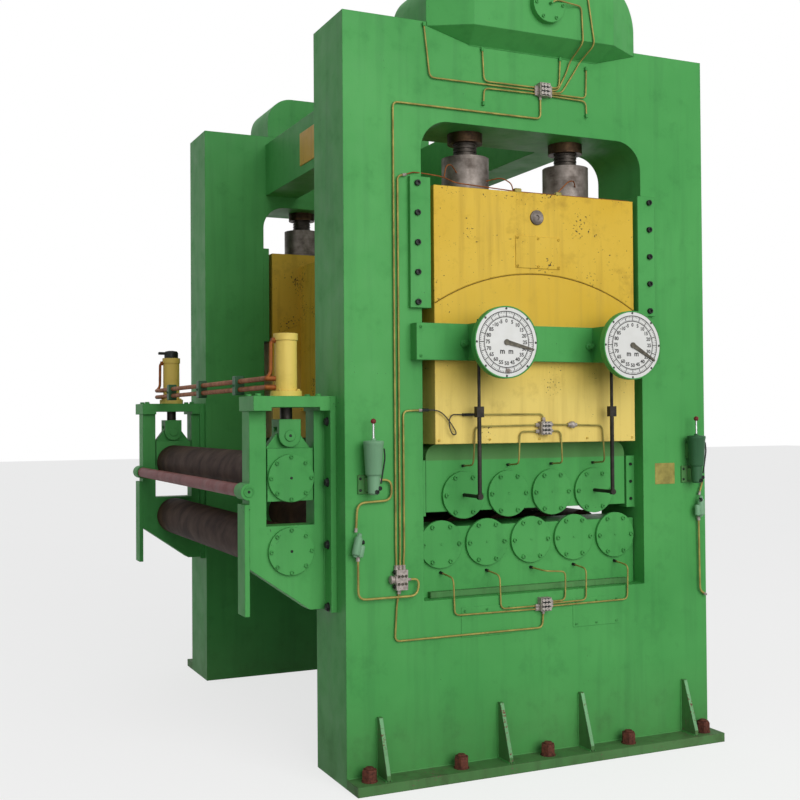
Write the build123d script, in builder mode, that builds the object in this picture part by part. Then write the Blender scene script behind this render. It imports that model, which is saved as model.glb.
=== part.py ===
from build123d import *
import math
import os

# A nine-roll coil leveler with an entry pinch-roll stand.
# X is the direction of the strip, Y runs across it from the operator side (negative) to the far side,
# and Z is up from the floor. The origin is on the floor, at the centre of the anchor-bolt holes.
# All lengths are in millimetres.

# Clearances shared by many pieces
running_clearance = 0.3
neck_end_clearance = 7
barrel_end_clearance = 15
cut_overrun = 5

# Work rolls: five below and four above the strip, in the gaps between them
pass_line_z = 1062
roll_radius = 95
roll_space = 35
roll_gap = 19
neck_radius = 55
lower_roll_count = 5
upper_roll_count = 4
roll_pitch = 2 * roll_radius + roll_space
lower_roll_z = pass_line_z - roll_radius
upper_roll_z = pass_line_z + roll_gap + roll_radius

# Round covers over the rolls' bearings
roll_cover_margin = 8
roll_cover_depth = 15
roll_cover_radius = roll_radius + roll_cover_margin

# Windows of the housings, wide enough for the lower row of covers
window_margin = 12
window_top_radius = 130
window_sill_radius = 4
window_width = (lower_roll_count - 1) * roll_pitch + 2 * (roll_cover_radius + window_margin)
window_x = window_width / 2

# Chocks that carry the work rolls
chock_recess = 78
chock_inset = 10
lower_chock_side_gap = 5
lower_chock_drop = 227
lower_chock_rise = 73
upper_chock_side_gap = 50
upper_chock_drop = 70
upper_chock_rise = 224
upper_chock_corner = 60
lower_chock_width = window_width - 2 * lower_chock_side_gap
upper_chock_width = window_width - 2 * upper_chock_side_gap
window_sill_z = lower_roll_z - lower_chock_drop
lower_chock_top_z = lower_roll_z + lower_chock_rise
upper_chock_low_z = upper_roll_z - upper_chock_drop

# Rocker: blocks in the windows with a round back, and a girder between them
block_side_gap = 53
block_proud = 12
rocker_radius = 968
rocker_seat_gap = 0.5
arc_chamfer = 4
rocker_girder_inset = 227
rocker_girder_drop = 84
rocker_low_z = upper_roll_z + upper_chock_rise
rocker_axis_z = upper_roll_z
rocker_width = window_width - 2 * block_side_gap
rocker_girder_width = rocker_width - 2 * rocker_girder_inset
rocker_girder_top_z = rocker_axis_z + rocker_radius - rocker_girder_drop

# Upper beam: blocks that sit on the rocker's back, and a girder with skirts round the rocker girder
beam_depth = 359
beam_girder_drop = 73
beam_girder_roof_gap = 25
beam_skirt_gap = 20
beam_skirt_thickness = 30
beam_skirt_rise = 160
beam_width = rocker_width
beam_top_z = rocker_axis_z + rocker_radius + beam_depth
beam_girder_top_z = beam_top_z - beam_girder_drop
beam_girder_width = rocker_girder_width + 2 * (beam_skirt_gap + beam_skirt_thickness)
beam_skirt_low_z = rocker_low_z + beam_skirt_rise

# Screws, their cups on the upper beam and their nuts in the housings
screw_spacing = 528
screw_radius = 53
screw_bore_gap = 5
screw_head_space = 70
screw_lift_space = 67
cup_wall = 53
cup_height = 165
nut_wall = 26
nut_height = 45
groove_count = 4
groove_pitch = 16
groove_width = 8
groove_depth = 6
screw_place_x = screw_spacing / 2
screw_bore_radius = screw_radius + screw_bore_gap
cup_radius = screw_radius + cup_wall
nut_radius = screw_radius + nut_wall
cup_top_z = beam_top_z + cup_height
nut_low_z = cup_top_z + screw_lift_space
window_top_z = nut_low_z + nut_height

# Side housings
housing_jamb = 355
housing_head = 420
housing_thickness = 340
housing_gap = 1830
housing_width = window_width + 2 * housing_jamb
housing_height = window_top_z + housing_head
housing_x = housing_width / 2
inner_y = housing_gap / 2
outer_y = inner_y + housing_thickness
middle_y = inner_y + housing_thickness / 2
screw_top_z = housing_height - screw_head_space
chock_front_y = outer_y - chock_recess
chock_back_y = inner_y + chock_inset

# Anchor flanges with gussets at the foot of each housing
flange_reach = 120
flange_thickness = 40
anchor_hole_radius = 27
anchor_edge = 75
anchor_step = 420
gusset_edge = 144
gusset_middle = 206
gusset_thickness = 18
gusset_height = 240
gusset_reach = 100
gusset_toe = 22
anchor_outer_x = housing_x - anchor_edge
anchor_inner_x = anchor_outer_x - anchor_step
gusset_outer_x = housing_x - gusset_edge
anchor_places = (-anchor_outer_x, -anchor_inner_x, 0, anchor_inner_x, anchor_outer_x)
gusset_places = (-gusset_outer_x, -gusset_middle, gusset_middle, gusset_outer_x)

# Gear cases of the screws, on top of each housing
case_end = 218.5
case_height = 238
case_overhang = 100
case_taper = 181
case_apron = 18
apron_drop = 56
apron_inset = 24
apron_edge = 3
case_corner_radius = 150
case_cover_radius = 80
case_cover_depth = 30
case_cover_height = 110
case_x = screw_place_x + screw_radius + case_end
case_flat_x = case_x - case_taper
case_low_z = housing_height - case_apron
apron_x = case_flat_x - apron_inset
apron_low_z = case_low_z - apron_drop
case_top_z = housing_height + case_height
case_front_y = -outer_y - case_overhang
case_back_y = -inner_y

# Tie beams between the housings
tie_outer_x = 550
tie_width = 200
tie_height = 305
tie_drop = 50
tie_top_z = housing_height - tie_drop

# Keeper strips on the window jambs beside the upper chocks
keeper_width = 45
keeper_drop = 16
keeper_height = 240
keeper_depth = 60
keeper_setback = 70
keeper_low_z = upper_chock_low_z - keeper_drop

# Bed between the housings under the lower rolls
bed_width = 670
bed_height = 290
bed_clearance = 22
bed_top_z = lower_roll_z - roll_radius - bed_clearance

# Guide strips on the housings that hold the upper beam
guide_leg = 33
guide_flange = 95
guide_thickness = 22
guide_length = 554
guide_rise = 27
guide_inner_x = window_x - guide_leg
guide_outer_x = guide_inner_x + guide_flange
guide_top_z = beam_top_z + guide_rise
guide_low_z = guide_top_z - guide_length

# Gap gauges: a bar across the near window, two boxes, two dials and their pointers
gauge_bar_drop = 66
gauge_bar_overlap = 54
gauge_bar_height = 155
gauge_bar_thickness = 20
gauge_pad_length = 50
gauge_pad_thickness = 40
gauge_box_cheek = 17
gauge_box_depth = 157
dial_radius = 150
dial_depth = 33
dial_rim = 5
dial_recess = 3
pointer_thickness = 5
pointer_lift = 2
pointer_margin = 18
pointer_tail = 4
pointer_root_width = 20
pointer_tip_width = 8
pointer_hub_radius = 12
pointer_shaft_radius = 8
pointer_shaft_length = 20
left_pointer_degrees = 103
right_pointer_degrees = 120
pointer_length = dial_radius - pointer_margin
left_dial_shift = 40
right_dial_shift = -5
dial_drop = 10
outer_roll_x = (upper_roll_count - 1) / 2 * roll_pitch
left_dial_x = -outer_roll_x + left_dial_shift
right_dial_x = outer_roll_x + right_dial_shift
bar_x = window_x + gauge_bar_overlap
bar_top_z = guide_low_z - gauge_bar_drop
bar_low_z = bar_top_z - gauge_bar_height
bar_back_y = outer_y + gauge_pad_thickness
bar_front_y = bar_back_y + gauge_bar_thickness
dial_back_y = bar_front_y + gauge_box_depth
dial_front_y = dial_back_y + dial_depth
dial_z = bar_low_z + gauge_bar_height / 2 - dial_drop
pointer_back_y = dial_front_y - dial_recess + pointer_lift

# Indicator rods that lead the height of the outer upper rolls to the gauges, in channels of the boxes
rod_offset = 20
rod_radius = 7
rod_side_gap = 17
rod_front_gap = 17
rod_top_rise = 20
rod_foot_radius = 9
rod_clamp_rise = 360
rod_clamp_width = 34
rod_clamp_height = 46
rod_clamp_depth = 25
rod_eye_radius = 13
rod_pin_radius = 8
rod_y = bar_front_y + rod_offset
rod_top_z = bar_top_z + rod_top_rise
rod_clamp_z = upper_roll_z + rod_clamp_rise
channel_x = rod_radius + rod_side_gap
channel_front_y = rod_y + rod_radius + rod_front_gap
gauge_box_x = channel_x + left_dial_shift + gauge_box_cheek

# Entry pinch rolls, with their chocks, clevises and round covers
pinch_roll_radius = 100
pinch_neck_radius = 50
pinch_gap = 104
pinch_cover_depth = 15
pinch_chock_drop = 96
pinch_chock_rise = 124
clevis_width = 95
clevis_pin_rise = 52
clevis_rise = 69
clevis_crown = 33
clevis_pin_radius = 23
clevis_pin_proud = 6
chock_lug_inset = 2.5
chock_lug_thickness = 40
chock_lug_taper = 13
chock_lug_gap = 2
pinch_lower_z = pass_line_z - pinch_roll_radius
pinch_upper_z = pass_line_z + pinch_gap + pinch_roll_radius
pinch_cover_radius = pinch_roll_radius
pinch_chock_width = 2 * pinch_cover_radius
pinch_chock_low_z = pinch_upper_z - pinch_chock_drop
pinch_chock_top_z = pinch_upper_z + pinch_chock_rise
clevis_pin_z = pinch_chock_top_z + clevis_pin_rise
clevis_top_z = clevis_pin_z + clevis_rise
clevis_x = clevis_width / 2

# Brackets of the pinch rolls, bolted to the housings' entry faces
bracket_thickness = 100
bracket_inner_y = 980
bracket_head_space = 34
bracket_foot_drop = 250
bracket_knee_drop = 67
bracket_foot_width = 65
bracket_flange_thickness = 25
bracket_flange_front = 178
bracket_flange_back = 25
bracket_flange_drop = 7
slot_side_gap = 5
slot_rise = 6
inner_post_width = 45
outer_post_width = 72
slot_width = pinch_chock_width + 2 * slot_side_gap
slot_low_z = pass_line_z + slot_rise
flange_face_x = -housing_x - bracket_flange_thickness
slot_high_x = flange_face_x - inner_post_width
slot_low_x = slot_high_x - slot_width
bracket_edge_x = slot_low_x - outer_post_width
pinch_x = (slot_low_x + slot_high_x) / 2
bracket_top_z = clevis_top_z + bracket_head_space
bracket_foot_z = pinch_lower_z - bracket_foot_drop
bracket_knee_z = pinch_lower_z - bracket_knee_drop
bracket_outer_y = bracket_inner_y + bracket_thickness
bracket_middle_y = bracket_inner_y + bracket_thickness / 2
flange_far_y = bracket_inner_y + bracket_flange_front
flange_near_y = bracket_inner_y - bracket_flange_back

# Caps on the brackets, and the cylinders on the caps
cap_thickness = 46
cap_foot_height = 15
cap_edge = 5
piston_rod_radius = 26
piston_rod_reach = 194
cylinder_wall = 21
cylinder_height = 266
cylinder_flange_margin = 20
cylinder_flange_height = 24
cylinder_head_height = 30
cylinder_head_margin = 4
cylinder_lid = 20
cap_top_z = bracket_top_z + cap_foot_height + cap_thickness
cylinder_radius = piston_rod_radius + cylinder_wall
cylinder_flange_radius = cylinder_radius + cylinder_flange_margin
cylinder_head_radius = cylinder_radius + cylinder_head_margin
cylinder_top_z = cap_top_z + cylinder_height
piston_rod_top_z = cap_top_z + piston_rod_reach

# Entry plates, and the round bar between the brackets' lugs
entry_plate_width = 21
entry_plate_drop = 10
entry_plate_rise = 98
entry_bar_radius = 28
entry_bar_rise = 151
entry_bar_reach = 2
lug_wall = 7
entry_plate_low_z = bracket_foot_z - entry_plate_drop
entry_plate_top_z = pass_line_z + entry_plate_rise
entry_bar_x = bracket_edge_x - entry_bar_reach
entry_bar_z = pass_line_z + entry_bar_rise
lug_radius = entry_bar_radius + lug_wall

# Hydraulic pipes between the two cylinders
pipe_radius = 11
pipe_side = 38
pipe_low_rise = 39
pipe_high_rise = 76
pipe_seat_gap = 0.4
pipe_x = pinch_x - cylinder_radius - pipe_side
pipe_heights = (cap_top_z + pipe_low_rise, cap_top_z + pipe_high_rise)

# Hand pumps, filters and distributor blocks of the lubrication
left_pump_edge = 100
right_pump_edge = 92
pump_low_z = 1203
pump_plate_width = 104
pump_plate_height = 66
pump_plate_thickness = 10
pump_foot_lip = 3
pump_foot_radius = 30
pump_body_radius = 44
pump_body_height = 148
pump_stem_radius = 6
pump_stem_length = 80
pump_ball_radius = 17
pump_offset = 56
left_filter_edge = 35
right_filter_edge = 54
left_filter_z = 997
right_filter_z = 1085
filter_radius = 22
filter_height = 96
filter_offset = 34
filter_pad_width = 24
block_width = 52
block_height = 84
small_block_height = 58
block_depth = 34
side_block_gap = 115
side_block_z = 840
top_block_x = 35
top_block_rise = 186
low_block_x = 16
low_block_drop = 51
rocker_block_x = 18
rocker_block_rise = 64
pump_places = (-housing_x + left_pump_edge, housing_x - right_pump_edge)
pump_plate_low_z = pump_low_z + pump_foot_lip
pump_body_low_z = pump_plate_low_z + pump_plate_height
pump_body_top_z = pump_body_low_z + pump_body_height
pump_ball_z = pump_body_top_z + pump_stem_length
filter_places = (
    (-housing_x + left_filter_edge, left_filter_z),
    (housing_x - right_filter_edge, right_filter_z),
)
block_places = (
    (-window_x - side_block_gap, side_block_z, block_height),
    (top_block_x, window_top_z + top_block_rise, small_block_height),
    (low_block_x, window_sill_z - low_block_drop, small_block_height),
)

sides = (("near", -1), ("far", 1))
os.makedirs("parts", exist_ok=True)


def write(builder, name):
    """Label a finished sub-part and write it as its own STEP file."""
    builder.part.label = name
    export_step(builder.part, f"parts/{name}.step")


def slab(x_low, x_high, y_low, y_high, z_low, z_high, mode=Mode.ADD):
    """A box between two corners."""
    with Locations(((x_low + x_high) / 2, (y_low + y_high) / 2, (z_low + z_high) / 2)):
        Box(x_high - x_low, y_high - y_low, z_high - z_low, mode=mode)


def round_x(x_low, x_high, y, z, radius, mode=Mode.ADD):
    """A round bar along X."""
    with Locations(((x_low + x_high) / 2, y, z)):
        Cylinder(radius, x_high - x_low, rotation=(0, 90, 0), mode=mode)


def round_y(x, y_low, y_high, z, radius, mode=Mode.ADD):
    """A round bar along Y."""
    with Locations((x, (y_low + y_high) / 2, z)):
        Cylinder(radius, y_high - y_low, rotation=(90, 0, 0), mode=mode)


def round_z(x, y, z_low, z_high, radius, mode=Mode.ADD):
    """A round bar along Z."""
    with Locations((x, y, (z_low + z_high) / 2)):
        Cylinder(radius, z_high - z_low, mode=mode)


def upright_plate(points, y_low, y_high, mode=Mode.ADD):
    """A plate whose outline is given as X and Z, between two places on Y."""
    with BuildSketch(Plane.XZ.offset(-y_high)) as outline:
        with BuildLine():
            Polyline(*points, close=True)
        make_face()
    extrude(outline.sketch, amount=y_high - y_low, mode=mode)


def row(count):
    """Places on X of a row of work rolls, at the roll pitch and centred on the origin."""
    return [(index - (count - 1) / 2) * roll_pitch for index in range(count)]


# Side housings
for side_name, side in sides:
    with BuildPart() as housing:
        with BuildSketch(Plane.XZ.offset(outer_y if side < 0 else -inner_y)) as face:
            with Locations((0, housing_height / 2)):
                Rectangle(housing_width, housing_height)
            with BuildLine() as window_line:
                FilletPolyline(
                    (-window_x, window_sill_z),
                    (window_x, window_sill_z),
                    (window_x, window_top_z),
                    (-window_x, window_top_z),
                    radius=[window_sill_radius, window_sill_radius, window_top_radius, window_top_radius],
                    close=True,
                )
            make_face(mode=Mode.SUBTRACT)
        extrude(amount=-housing_thickness)
        for screw_x in (-screw_place_x, screw_place_x):
            round_z(screw_x, side * middle_y, window_top_z - cut_overrun, housing_height + cut_overrun,
                    screw_bore_radius, Mode.SUBTRACT)
    write(housing, f"{side_name}_housing")

# Anchor flanges with their gussets
with BuildPart() as base_flanges:
    slab(-housing_x, housing_x, -outer_y - flange_reach, -outer_y, 0, flange_thickness)
    for anchor_x in anchor_places:
        round_z(anchor_x, -outer_y - flange_reach / 2, -cut_overrun, flange_thickness + cut_overrun,
                anchor_hole_radius, Mode.SUBTRACT)
    for gusset_x in gusset_places:
        with BuildSketch(Plane.YZ.offset(gusset_x - gusset_thickness / 2)) as gusset:
            with BuildLine():
                Polyline(
                    (-outer_y, flange_thickness),
                    (-outer_y, flange_thickness + gusset_height),
                    (-outer_y - gusset_toe, flange_thickness + gusset_height),
                    (-outer_y - gusset_reach, flange_thickness + gusset_toe),
                    (-outer_y - gusset_reach, flange_thickness),
                    close=True,
                )
            make_face()
        extrude(amount=gusset_thickness)
    mirror(about=Plane.XZ)
write(base_flanges, "base_flanges")

# Gear cases: slanted at the outer corners, rounded at the ends, with a sloped apron under the overhang
with BuildPart() as gear_cases:
    with BuildSketch(Plane.XY.offset(case_low_z)) as plan:
        with BuildLine():
            Polyline(
                (-case_x, -outer_y), (-case_flat_x, case_front_y),
                (case_flat_x, case_front_y), (case_x, -outer_y),
                (case_x, case_back_y), (-case_x, case_back_y),
                close=True,
            )
        make_face()
    extrude(amount=case_height + case_apron)
    with BuildSketch(Plane.XZ.offset(-case_back_y)) as profile:
        with BuildLine():
            FilletPolyline(
                (-case_x, case_low_z), (-case_x, case_top_z), (case_x, case_top_z), (case_x, case_low_z),
                radius=case_corner_radius,
            )
            Line((case_x, case_low_z), (-case_x, case_low_z))
        make_face()
    extrude(amount=case_back_y - case_front_y, mode=Mode.INTERSECT)
    slab(-case_x, case_x, -outer_y, case_back_y, case_low_z - cut_overrun, housing_height, Mode.SUBTRACT)
    with BuildSketch(Plane.XY.offset(apron_low_z)) as apron_foot:
        with BuildLine():
            Polyline(
                (-apron_x, -outer_y), (-apron_x, -outer_y - apron_edge),
                (apron_x, -outer_y - apron_edge), (apron_x, -outer_y),
                close=True,
            )
        make_face()
    with BuildSketch(Plane.XY.offset(case_low_z)) as apron_head:
        with BuildLine():
            Polyline(
                (-case_x, -outer_y), (-case_flat_x, case_front_y),
                (case_flat_x, case_front_y), (case_x, -outer_y),
                close=True,
            )
        make_face()
    loft(ruled=True)
    mirror(about=Plane.XZ)
write(gear_cases, "gear_cases")

with BuildPart() as gear_case_covers:
    round_y(0, case_front_y - case_cover_depth, case_front_y, housing_height + case_cover_height,
            case_cover_radius)
    mirror(about=Plane.XZ)
write(gear_case_covers, "gear_case_covers")

# Tie beams at the entry and the exit
with BuildPart() as tie_beams:
    slab(-tie_outer_x, -tie_outer_x + tie_width, -inner_y, inner_y, tie_top_z - tie_height, tie_top_z)
    mirror(about=Plane.YZ)
write(tie_beams, "tie_beams")

# Guide strips: a flange on the housing's face and a leg against the window jamb
with BuildPart() as beam_guides:
    slab(guide_inner_x, guide_outer_x, -outer_y - guide_thickness, -outer_y, guide_low_z, guide_top_z)
    slab(guide_inner_x, window_x, -outer_y, -inner_y, guide_low_z, guide_top_z)
    mirror(about=Plane.YZ)
    mirror(about=Plane.XZ)
write(beam_guides, "beam_guides")

with BuildPart() as chock_keepers:
    slab(window_x - keeper_width, window_x, -outer_y + keeper_setback,
         -outer_y + keeper_setback + keeper_depth, keeper_low_z, keeper_low_z + keeper_height)
    mirror(about=Plane.YZ)
    mirror(about=Plane.XZ)
write(chock_keepers, "chock_keepers")

# Lower chocks, bearing covers and bed
with BuildPart() as lower_chocks:
    slab(-lower_chock_width / 2, lower_chock_width / 2, -chock_front_y, -chock_back_y,
         window_sill_z, lower_chock_top_z)
    for roll_x in row(lower_roll_count):
        round_y(roll_x, -chock_front_y - cut_overrun, -chock_back_y + cut_overrun, lower_roll_z,
                neck_radius + running_clearance, Mode.SUBTRACT)
    mirror(about=Plane.XZ)
write(lower_chocks, "lower_chocks")

with BuildPart() as lower_roll_covers:
    for roll_x in row(lower_roll_count):
        round_y(roll_x, -chock_front_y - roll_cover_depth, -chock_front_y, lower_roll_z, roll_cover_radius)
    mirror(about=Plane.XZ)
write(lower_roll_covers, "lower_roll_covers")

with BuildPart() as lower_bed:
    slab(-bed_width / 2, bed_width / 2, -inner_y, inner_y, bed_top_z - bed_height, bed_top_z)
write(lower_bed, "lower_bed")

# Screw nuts under the window tops
with BuildPart() as screw_nuts:
    round_z(screw_place_x, -middle_y, nut_low_z, window_top_z, nut_radius)
    round_z(screw_place_x, -middle_y, nut_low_z - cut_overrun, window_top_z + cut_overrun,
            screw_radius + running_clearance, Mode.SUBTRACT)
    mirror(about=Plane.YZ)
    mirror(about=Plane.XZ)
write(screw_nuts, "screw_nuts")

# Gauge bar, boxes and dials on the operator side
with BuildPart() as gauge_bar:
    slab(-bar_x, bar_x, -bar_front_y, -bar_back_y, bar_low_z, bar_top_z)
    slab(-bar_x, -bar_x + gauge_pad_length, -bar_back_y, -outer_y, bar_low_z, bar_top_z)
    slab(bar_x - gauge_pad_length, bar_x, -bar_back_y, -outer_y, bar_low_z, bar_top_z)
write(gauge_bar, "gauge_bar")

with BuildPart() as gauge_boxes:
    for dial_x, rod_x in ((left_dial_x, -outer_roll_x), (right_dial_x, outer_roll_x)):
        slab(dial_x - gauge_box_x, dial_x + gauge_box_x,
             -dial_back_y, -bar_front_y, bar_low_z, bar_top_z)
        slab(rod_x - channel_x, rod_x + channel_x,
             -channel_front_y, -bar_front_y + cut_overrun,
             bar_low_z - cut_overrun, bar_top_z + cut_overrun, Mode.SUBTRACT)
write(gauge_boxes, "gauge_boxes")

with BuildPart() as gauge_dials:
    for dial_x in (left_dial_x, right_dial_x):
        round_y(dial_x, -dial_front_y, -dial_back_y, dial_z, dial_radius)
        round_y(dial_x, -dial_front_y - cut_overrun, -dial_front_y + dial_recess, dial_z,
                dial_radius - dial_rim, Mode.SUBTRACT)
        round_y(dial_x, -dial_front_y - cut_overrun, -dial_back_y + cut_overrun, dial_z,
                pointer_shaft_radius + running_clearance, Mode.SUBTRACT)
write(gauge_dials, "gauge_dials")

# Pointers: a tapered hand with a hub, on a shaft in the dial
for pointer_name, pointer_x, degrees in (
    ("left_pointer", left_dial_x, left_pointer_degrees),
    ("right_pointer", right_dial_x, right_pointer_degrees),
):
    turn = math.radians(degrees)
    hand_plane = Plane(
        origin=(pointer_x, -pointer_back_y, dial_z),
        x_dir=(math.sin(turn), 0, math.cos(turn)),
        z_dir=(0, -1, 0),
    )
    with BuildPart() as pointer:
        with BuildSketch(hand_plane) as hand:
            with BuildLine():
                Polyline(
                    (-pointer_tail, -pointer_root_width / 2),
                    (pointer_length, -pointer_tip_width / 2),
                    (pointer_length, pointer_tip_width / 2),
                    (-pointer_tail, pointer_root_width / 2),
                    close=True,
                )
            make_face()
            Circle(pointer_hub_radius)
        extrude(amount=pointer_thickness)
        round_y(pointer_x, -pointer_back_y, -pointer_back_y + pointer_shaft_length, dial_z,
                pointer_shaft_radius)
    write(pointer, pointer_name)

# Screws with ring grooves, and their cups
with BuildPart() as screw_cups:
    round_z(screw_place_x, -middle_y, beam_top_z, cup_top_z, cup_radius)
    mirror(about=Plane.YZ)
    mirror(about=Plane.XZ)
write(screw_cups, "screw_cups")

with BuildPart() as screws:
    round_z(screw_place_x, -middle_y, cup_top_z, screw_top_z, screw_radius)
    for groove in range(groove_count):
        groove_z = cup_top_z + groove_width / 2 + groove * groove_pitch
        with BuildSketch(Plane.XY.offset(groove_z)) as ring:
            with Locations((screw_place_x, -middle_y)):
                Circle(screw_radius + cut_overrun)
                Circle(screw_radius - groove_depth, mode=Mode.SUBTRACT)
        extrude(amount=groove_width, mode=Mode.SUBTRACT)
    mirror(about=Plane.YZ)
    mirror(about=Plane.XZ)
write(screws, "screws")


def arc_height(radius, half_width):
    """Height of an arc about the rocker axis, at a distance from the middle."""
    return rocker_axis_z + math.sqrt(radius ** 2 - half_width ** 2)


# Upper blocks: hollow below, to sit on the rocker's round back
seat_radius = rocker_radius + rocker_seat_gap
beam_x = beam_width / 2
block_front_y = outer_y + block_proud
with BuildPart() as upper_blocks:
    with BuildSketch(Plane.XZ.offset(inner_y)) as upper_face:
        with BuildLine():
            ThreePointArc(
                (-beam_x, arc_height(seat_radius, beam_x)),
                (0, rocker_axis_z + seat_radius),
                (beam_x, arc_height(seat_radius, beam_x)),
            )
            Polyline(
                (beam_x, arc_height(seat_radius, beam_x)),
                (beam_x, beam_top_z),
                (-beam_x, beam_top_z),
                (-beam_x, arc_height(seat_radius, beam_x)),
            )
        make_face()
    extrude(amount=block_front_y - inner_y)
    front_arc = upper_blocks.edges().filter_by(GeomType.CIRCLE).sort_by(Axis.Y)[0]
    chamfer(front_arc, arc_chamfer)
    mirror(about=Plane.XZ)
write(upper_blocks, "upper_blocks")

# Rocker blocks with their round backs
rocker_x = rocker_width / 2
with BuildPart() as rocker_blocks:
    with BuildSketch(Plane.XZ.offset(inner_y)) as rocker_face:
        with BuildLine():
            ThreePointArc(
                (-rocker_x, arc_height(rocker_radius, rocker_x)),
                (0, rocker_axis_z + rocker_radius),
                (rocker_x, arc_height(rocker_radius, rocker_x)),
            )
            Polyline(
                (rocker_x, arc_height(rocker_radius, rocker_x)),
                (rocker_x, rocker_low_z),
                (-rocker_x, rocker_low_z),
                (-rocker_x, arc_height(rocker_radius, rocker_x)),
            )
        make_face()
    extrude(amount=block_front_y - inner_y)
    front_arc = rocker_blocks.edges().filter_by(GeomType.CIRCLE).sort_by(Axis.Y)[0]
    chamfer(front_arc, arc_chamfer)
    mirror(about=Plane.XZ)
write(rocker_blocks, "rocker_blocks")

# Girders between the blocks
with BuildPart() as upper_girder:
    girder_x = beam_girder_width / 2
    slab(-girder_x, girder_x, -inner_y, inner_y, beam_skirt_low_z, beam_girder_top_z)
    slab(-girder_x + beam_skirt_thickness, girder_x - beam_skirt_thickness,
         -inner_y - cut_overrun, inner_y + cut_overrun,
         beam_skirt_low_z - cut_overrun, rocker_girder_top_z + beam_girder_roof_gap, Mode.SUBTRACT)
write(upper_girder, "upper_girder")

with BuildPart() as rocker_girder:
    slab(-rocker_girder_width / 2, rocker_girder_width / 2, -inner_y, inner_y,
         rocker_low_z, rocker_girder_top_z)
write(rocker_girder, "rocker_girder")

# Upper chocks and bearing covers
with BuildPart() as upper_chocks:
    with BuildSketch(Plane.XZ.offset(chock_back_y)) as chock_face:
        with BuildLine():
            FilletPolyline(
                (-upper_chock_width / 2, upper_chock_low_z),
                (-upper_chock_width / 2, rocker_low_z),
                (upper_chock_width / 2, rocker_low_z),
                (upper_chock_width / 2, upper_chock_low_z),
                radius=upper_chock_corner,
            )
            Line((upper_chock_width / 2, upper_chock_low_z), (-upper_chock_width / 2, upper_chock_low_z))
        make_face()
        with Locations([(roll_x, upper_roll_z) for roll_x in row(upper_roll_count)]):
            Circle(neck_radius + running_clearance, mode=Mode.SUBTRACT)
    extrude(amount=chock_front_y - chock_back_y)
    mirror(about=Plane.XZ)
write(upper_chocks, "upper_chocks")

with BuildPart() as upper_roll_covers:
    for roll_x in row(upper_roll_count):
        round_y(roll_x, -chock_front_y - roll_cover_depth, -chock_front_y, upper_roll_z, roll_cover_radius)
    mirror(about=Plane.XZ)
write(upper_roll_covers, "upper_roll_covers")

# Indicator rods: a pin on the outer roll's cover, an eye, a foot bar, a clamp and a rod into the gauge box
with BuildPart() as indicator_rods:
    round_y(outer_roll_x, -rod_y - rod_foot_radius, -chock_front_y - roll_cover_depth, upper_roll_z,
            rod_pin_radius)
    round_y(outer_roll_x, -rod_y - rod_foot_radius, -rod_y + rod_foot_radius, upper_roll_z, rod_eye_radius)
    round_z(outer_roll_x, -rod_y, upper_roll_z, rod_clamp_z, rod_foot_radius)
    round_z(outer_roll_x, -rod_y, rod_clamp_z, rod_top_z, rod_radius)
    slab(outer_roll_x - rod_clamp_width / 2, outer_roll_x + rod_clamp_width / 2,
         -rod_y - rod_clamp_depth / 2, -rod_y + rod_clamp_depth / 2,
         rod_clamp_z - rod_clamp_height / 2, rod_clamp_z + rod_clamp_height / 2)
    mirror(about=Plane.YZ)
write(indicator_rods, "indicator_rods")

# Work rolls
for row_name, row_count, row_z in (
    ("lower_roll", lower_roll_count, lower_roll_z),
    ("upper_roll", upper_roll_count, upper_roll_z),
):
    for index, roll_x in enumerate(row(row_count), start=1):
        with BuildPart() as roll:
            barrel_end_y = chock_back_y - barrel_end_clearance
            neck_end_y = chock_front_y - neck_end_clearance
            round_y(roll_x, -barrel_end_y, barrel_end_y, row_z, roll_radius)
            round_y(roll_x, -neck_end_y, neck_end_y, row_z, neck_radius)
        write(roll, f"{row_name}_{index}")

# Pinch-stand brackets: a slotted plate with a slanted foot, a bolting flange and a lug for the entry bar
with BuildPart() as pinch_brackets:
    upright_plate(
        (
            (bracket_edge_x, bracket_knee_z),
            (flange_face_x - bracket_foot_width, bracket_foot_z),
            (flange_face_x, bracket_foot_z),
            (flange_face_x, bracket_top_z),
            (slot_high_x, bracket_top_z),
            (slot_high_x, slot_low_z),
            (slot_low_x, slot_low_z),
            (slot_low_x, bracket_top_z),
            (bracket_edge_x, bracket_top_z),
        ),
        -bracket_outer_y, -bracket_inner_y,
    )
    slab(flange_face_x, -housing_x, -flange_far_y, -flange_near_y,
         bracket_foot_z - bracket_flange_drop, cap_top_z)
    slab(entry_bar_x, bracket_edge_x, -bracket_outer_y, -bracket_inner_y,
         entry_bar_z - lug_radius, entry_bar_z + lug_radius)
    round_y(entry_bar_x, -bracket_outer_y, -bracket_inner_y, entry_bar_z, lug_radius)
    round_y(pinch_x, -bracket_outer_y - cut_overrun, -bracket_inner_y + cut_overrun, pinch_lower_z,
            pinch_neck_radius + running_clearance, Mode.SUBTRACT)
    mirror(about=Plane.XZ)
write(pinch_brackets, "pinch_brackets")

with BuildPart() as entry_plates:
    slab(bracket_edge_x - entry_plate_width, bracket_edge_x, -bracket_outer_y, -bracket_inner_y,
         entry_plate_low_z, entry_plate_top_z)
    mirror(about=Plane.XZ)
write(entry_plates, "entry_plates")

with BuildPart() as entry_bar:
    round_y(entry_bar_x, -bracket_inner_y, bracket_inner_y, entry_bar_z, entry_bar_radius)
write(entry_bar, "entry_bar")

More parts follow.
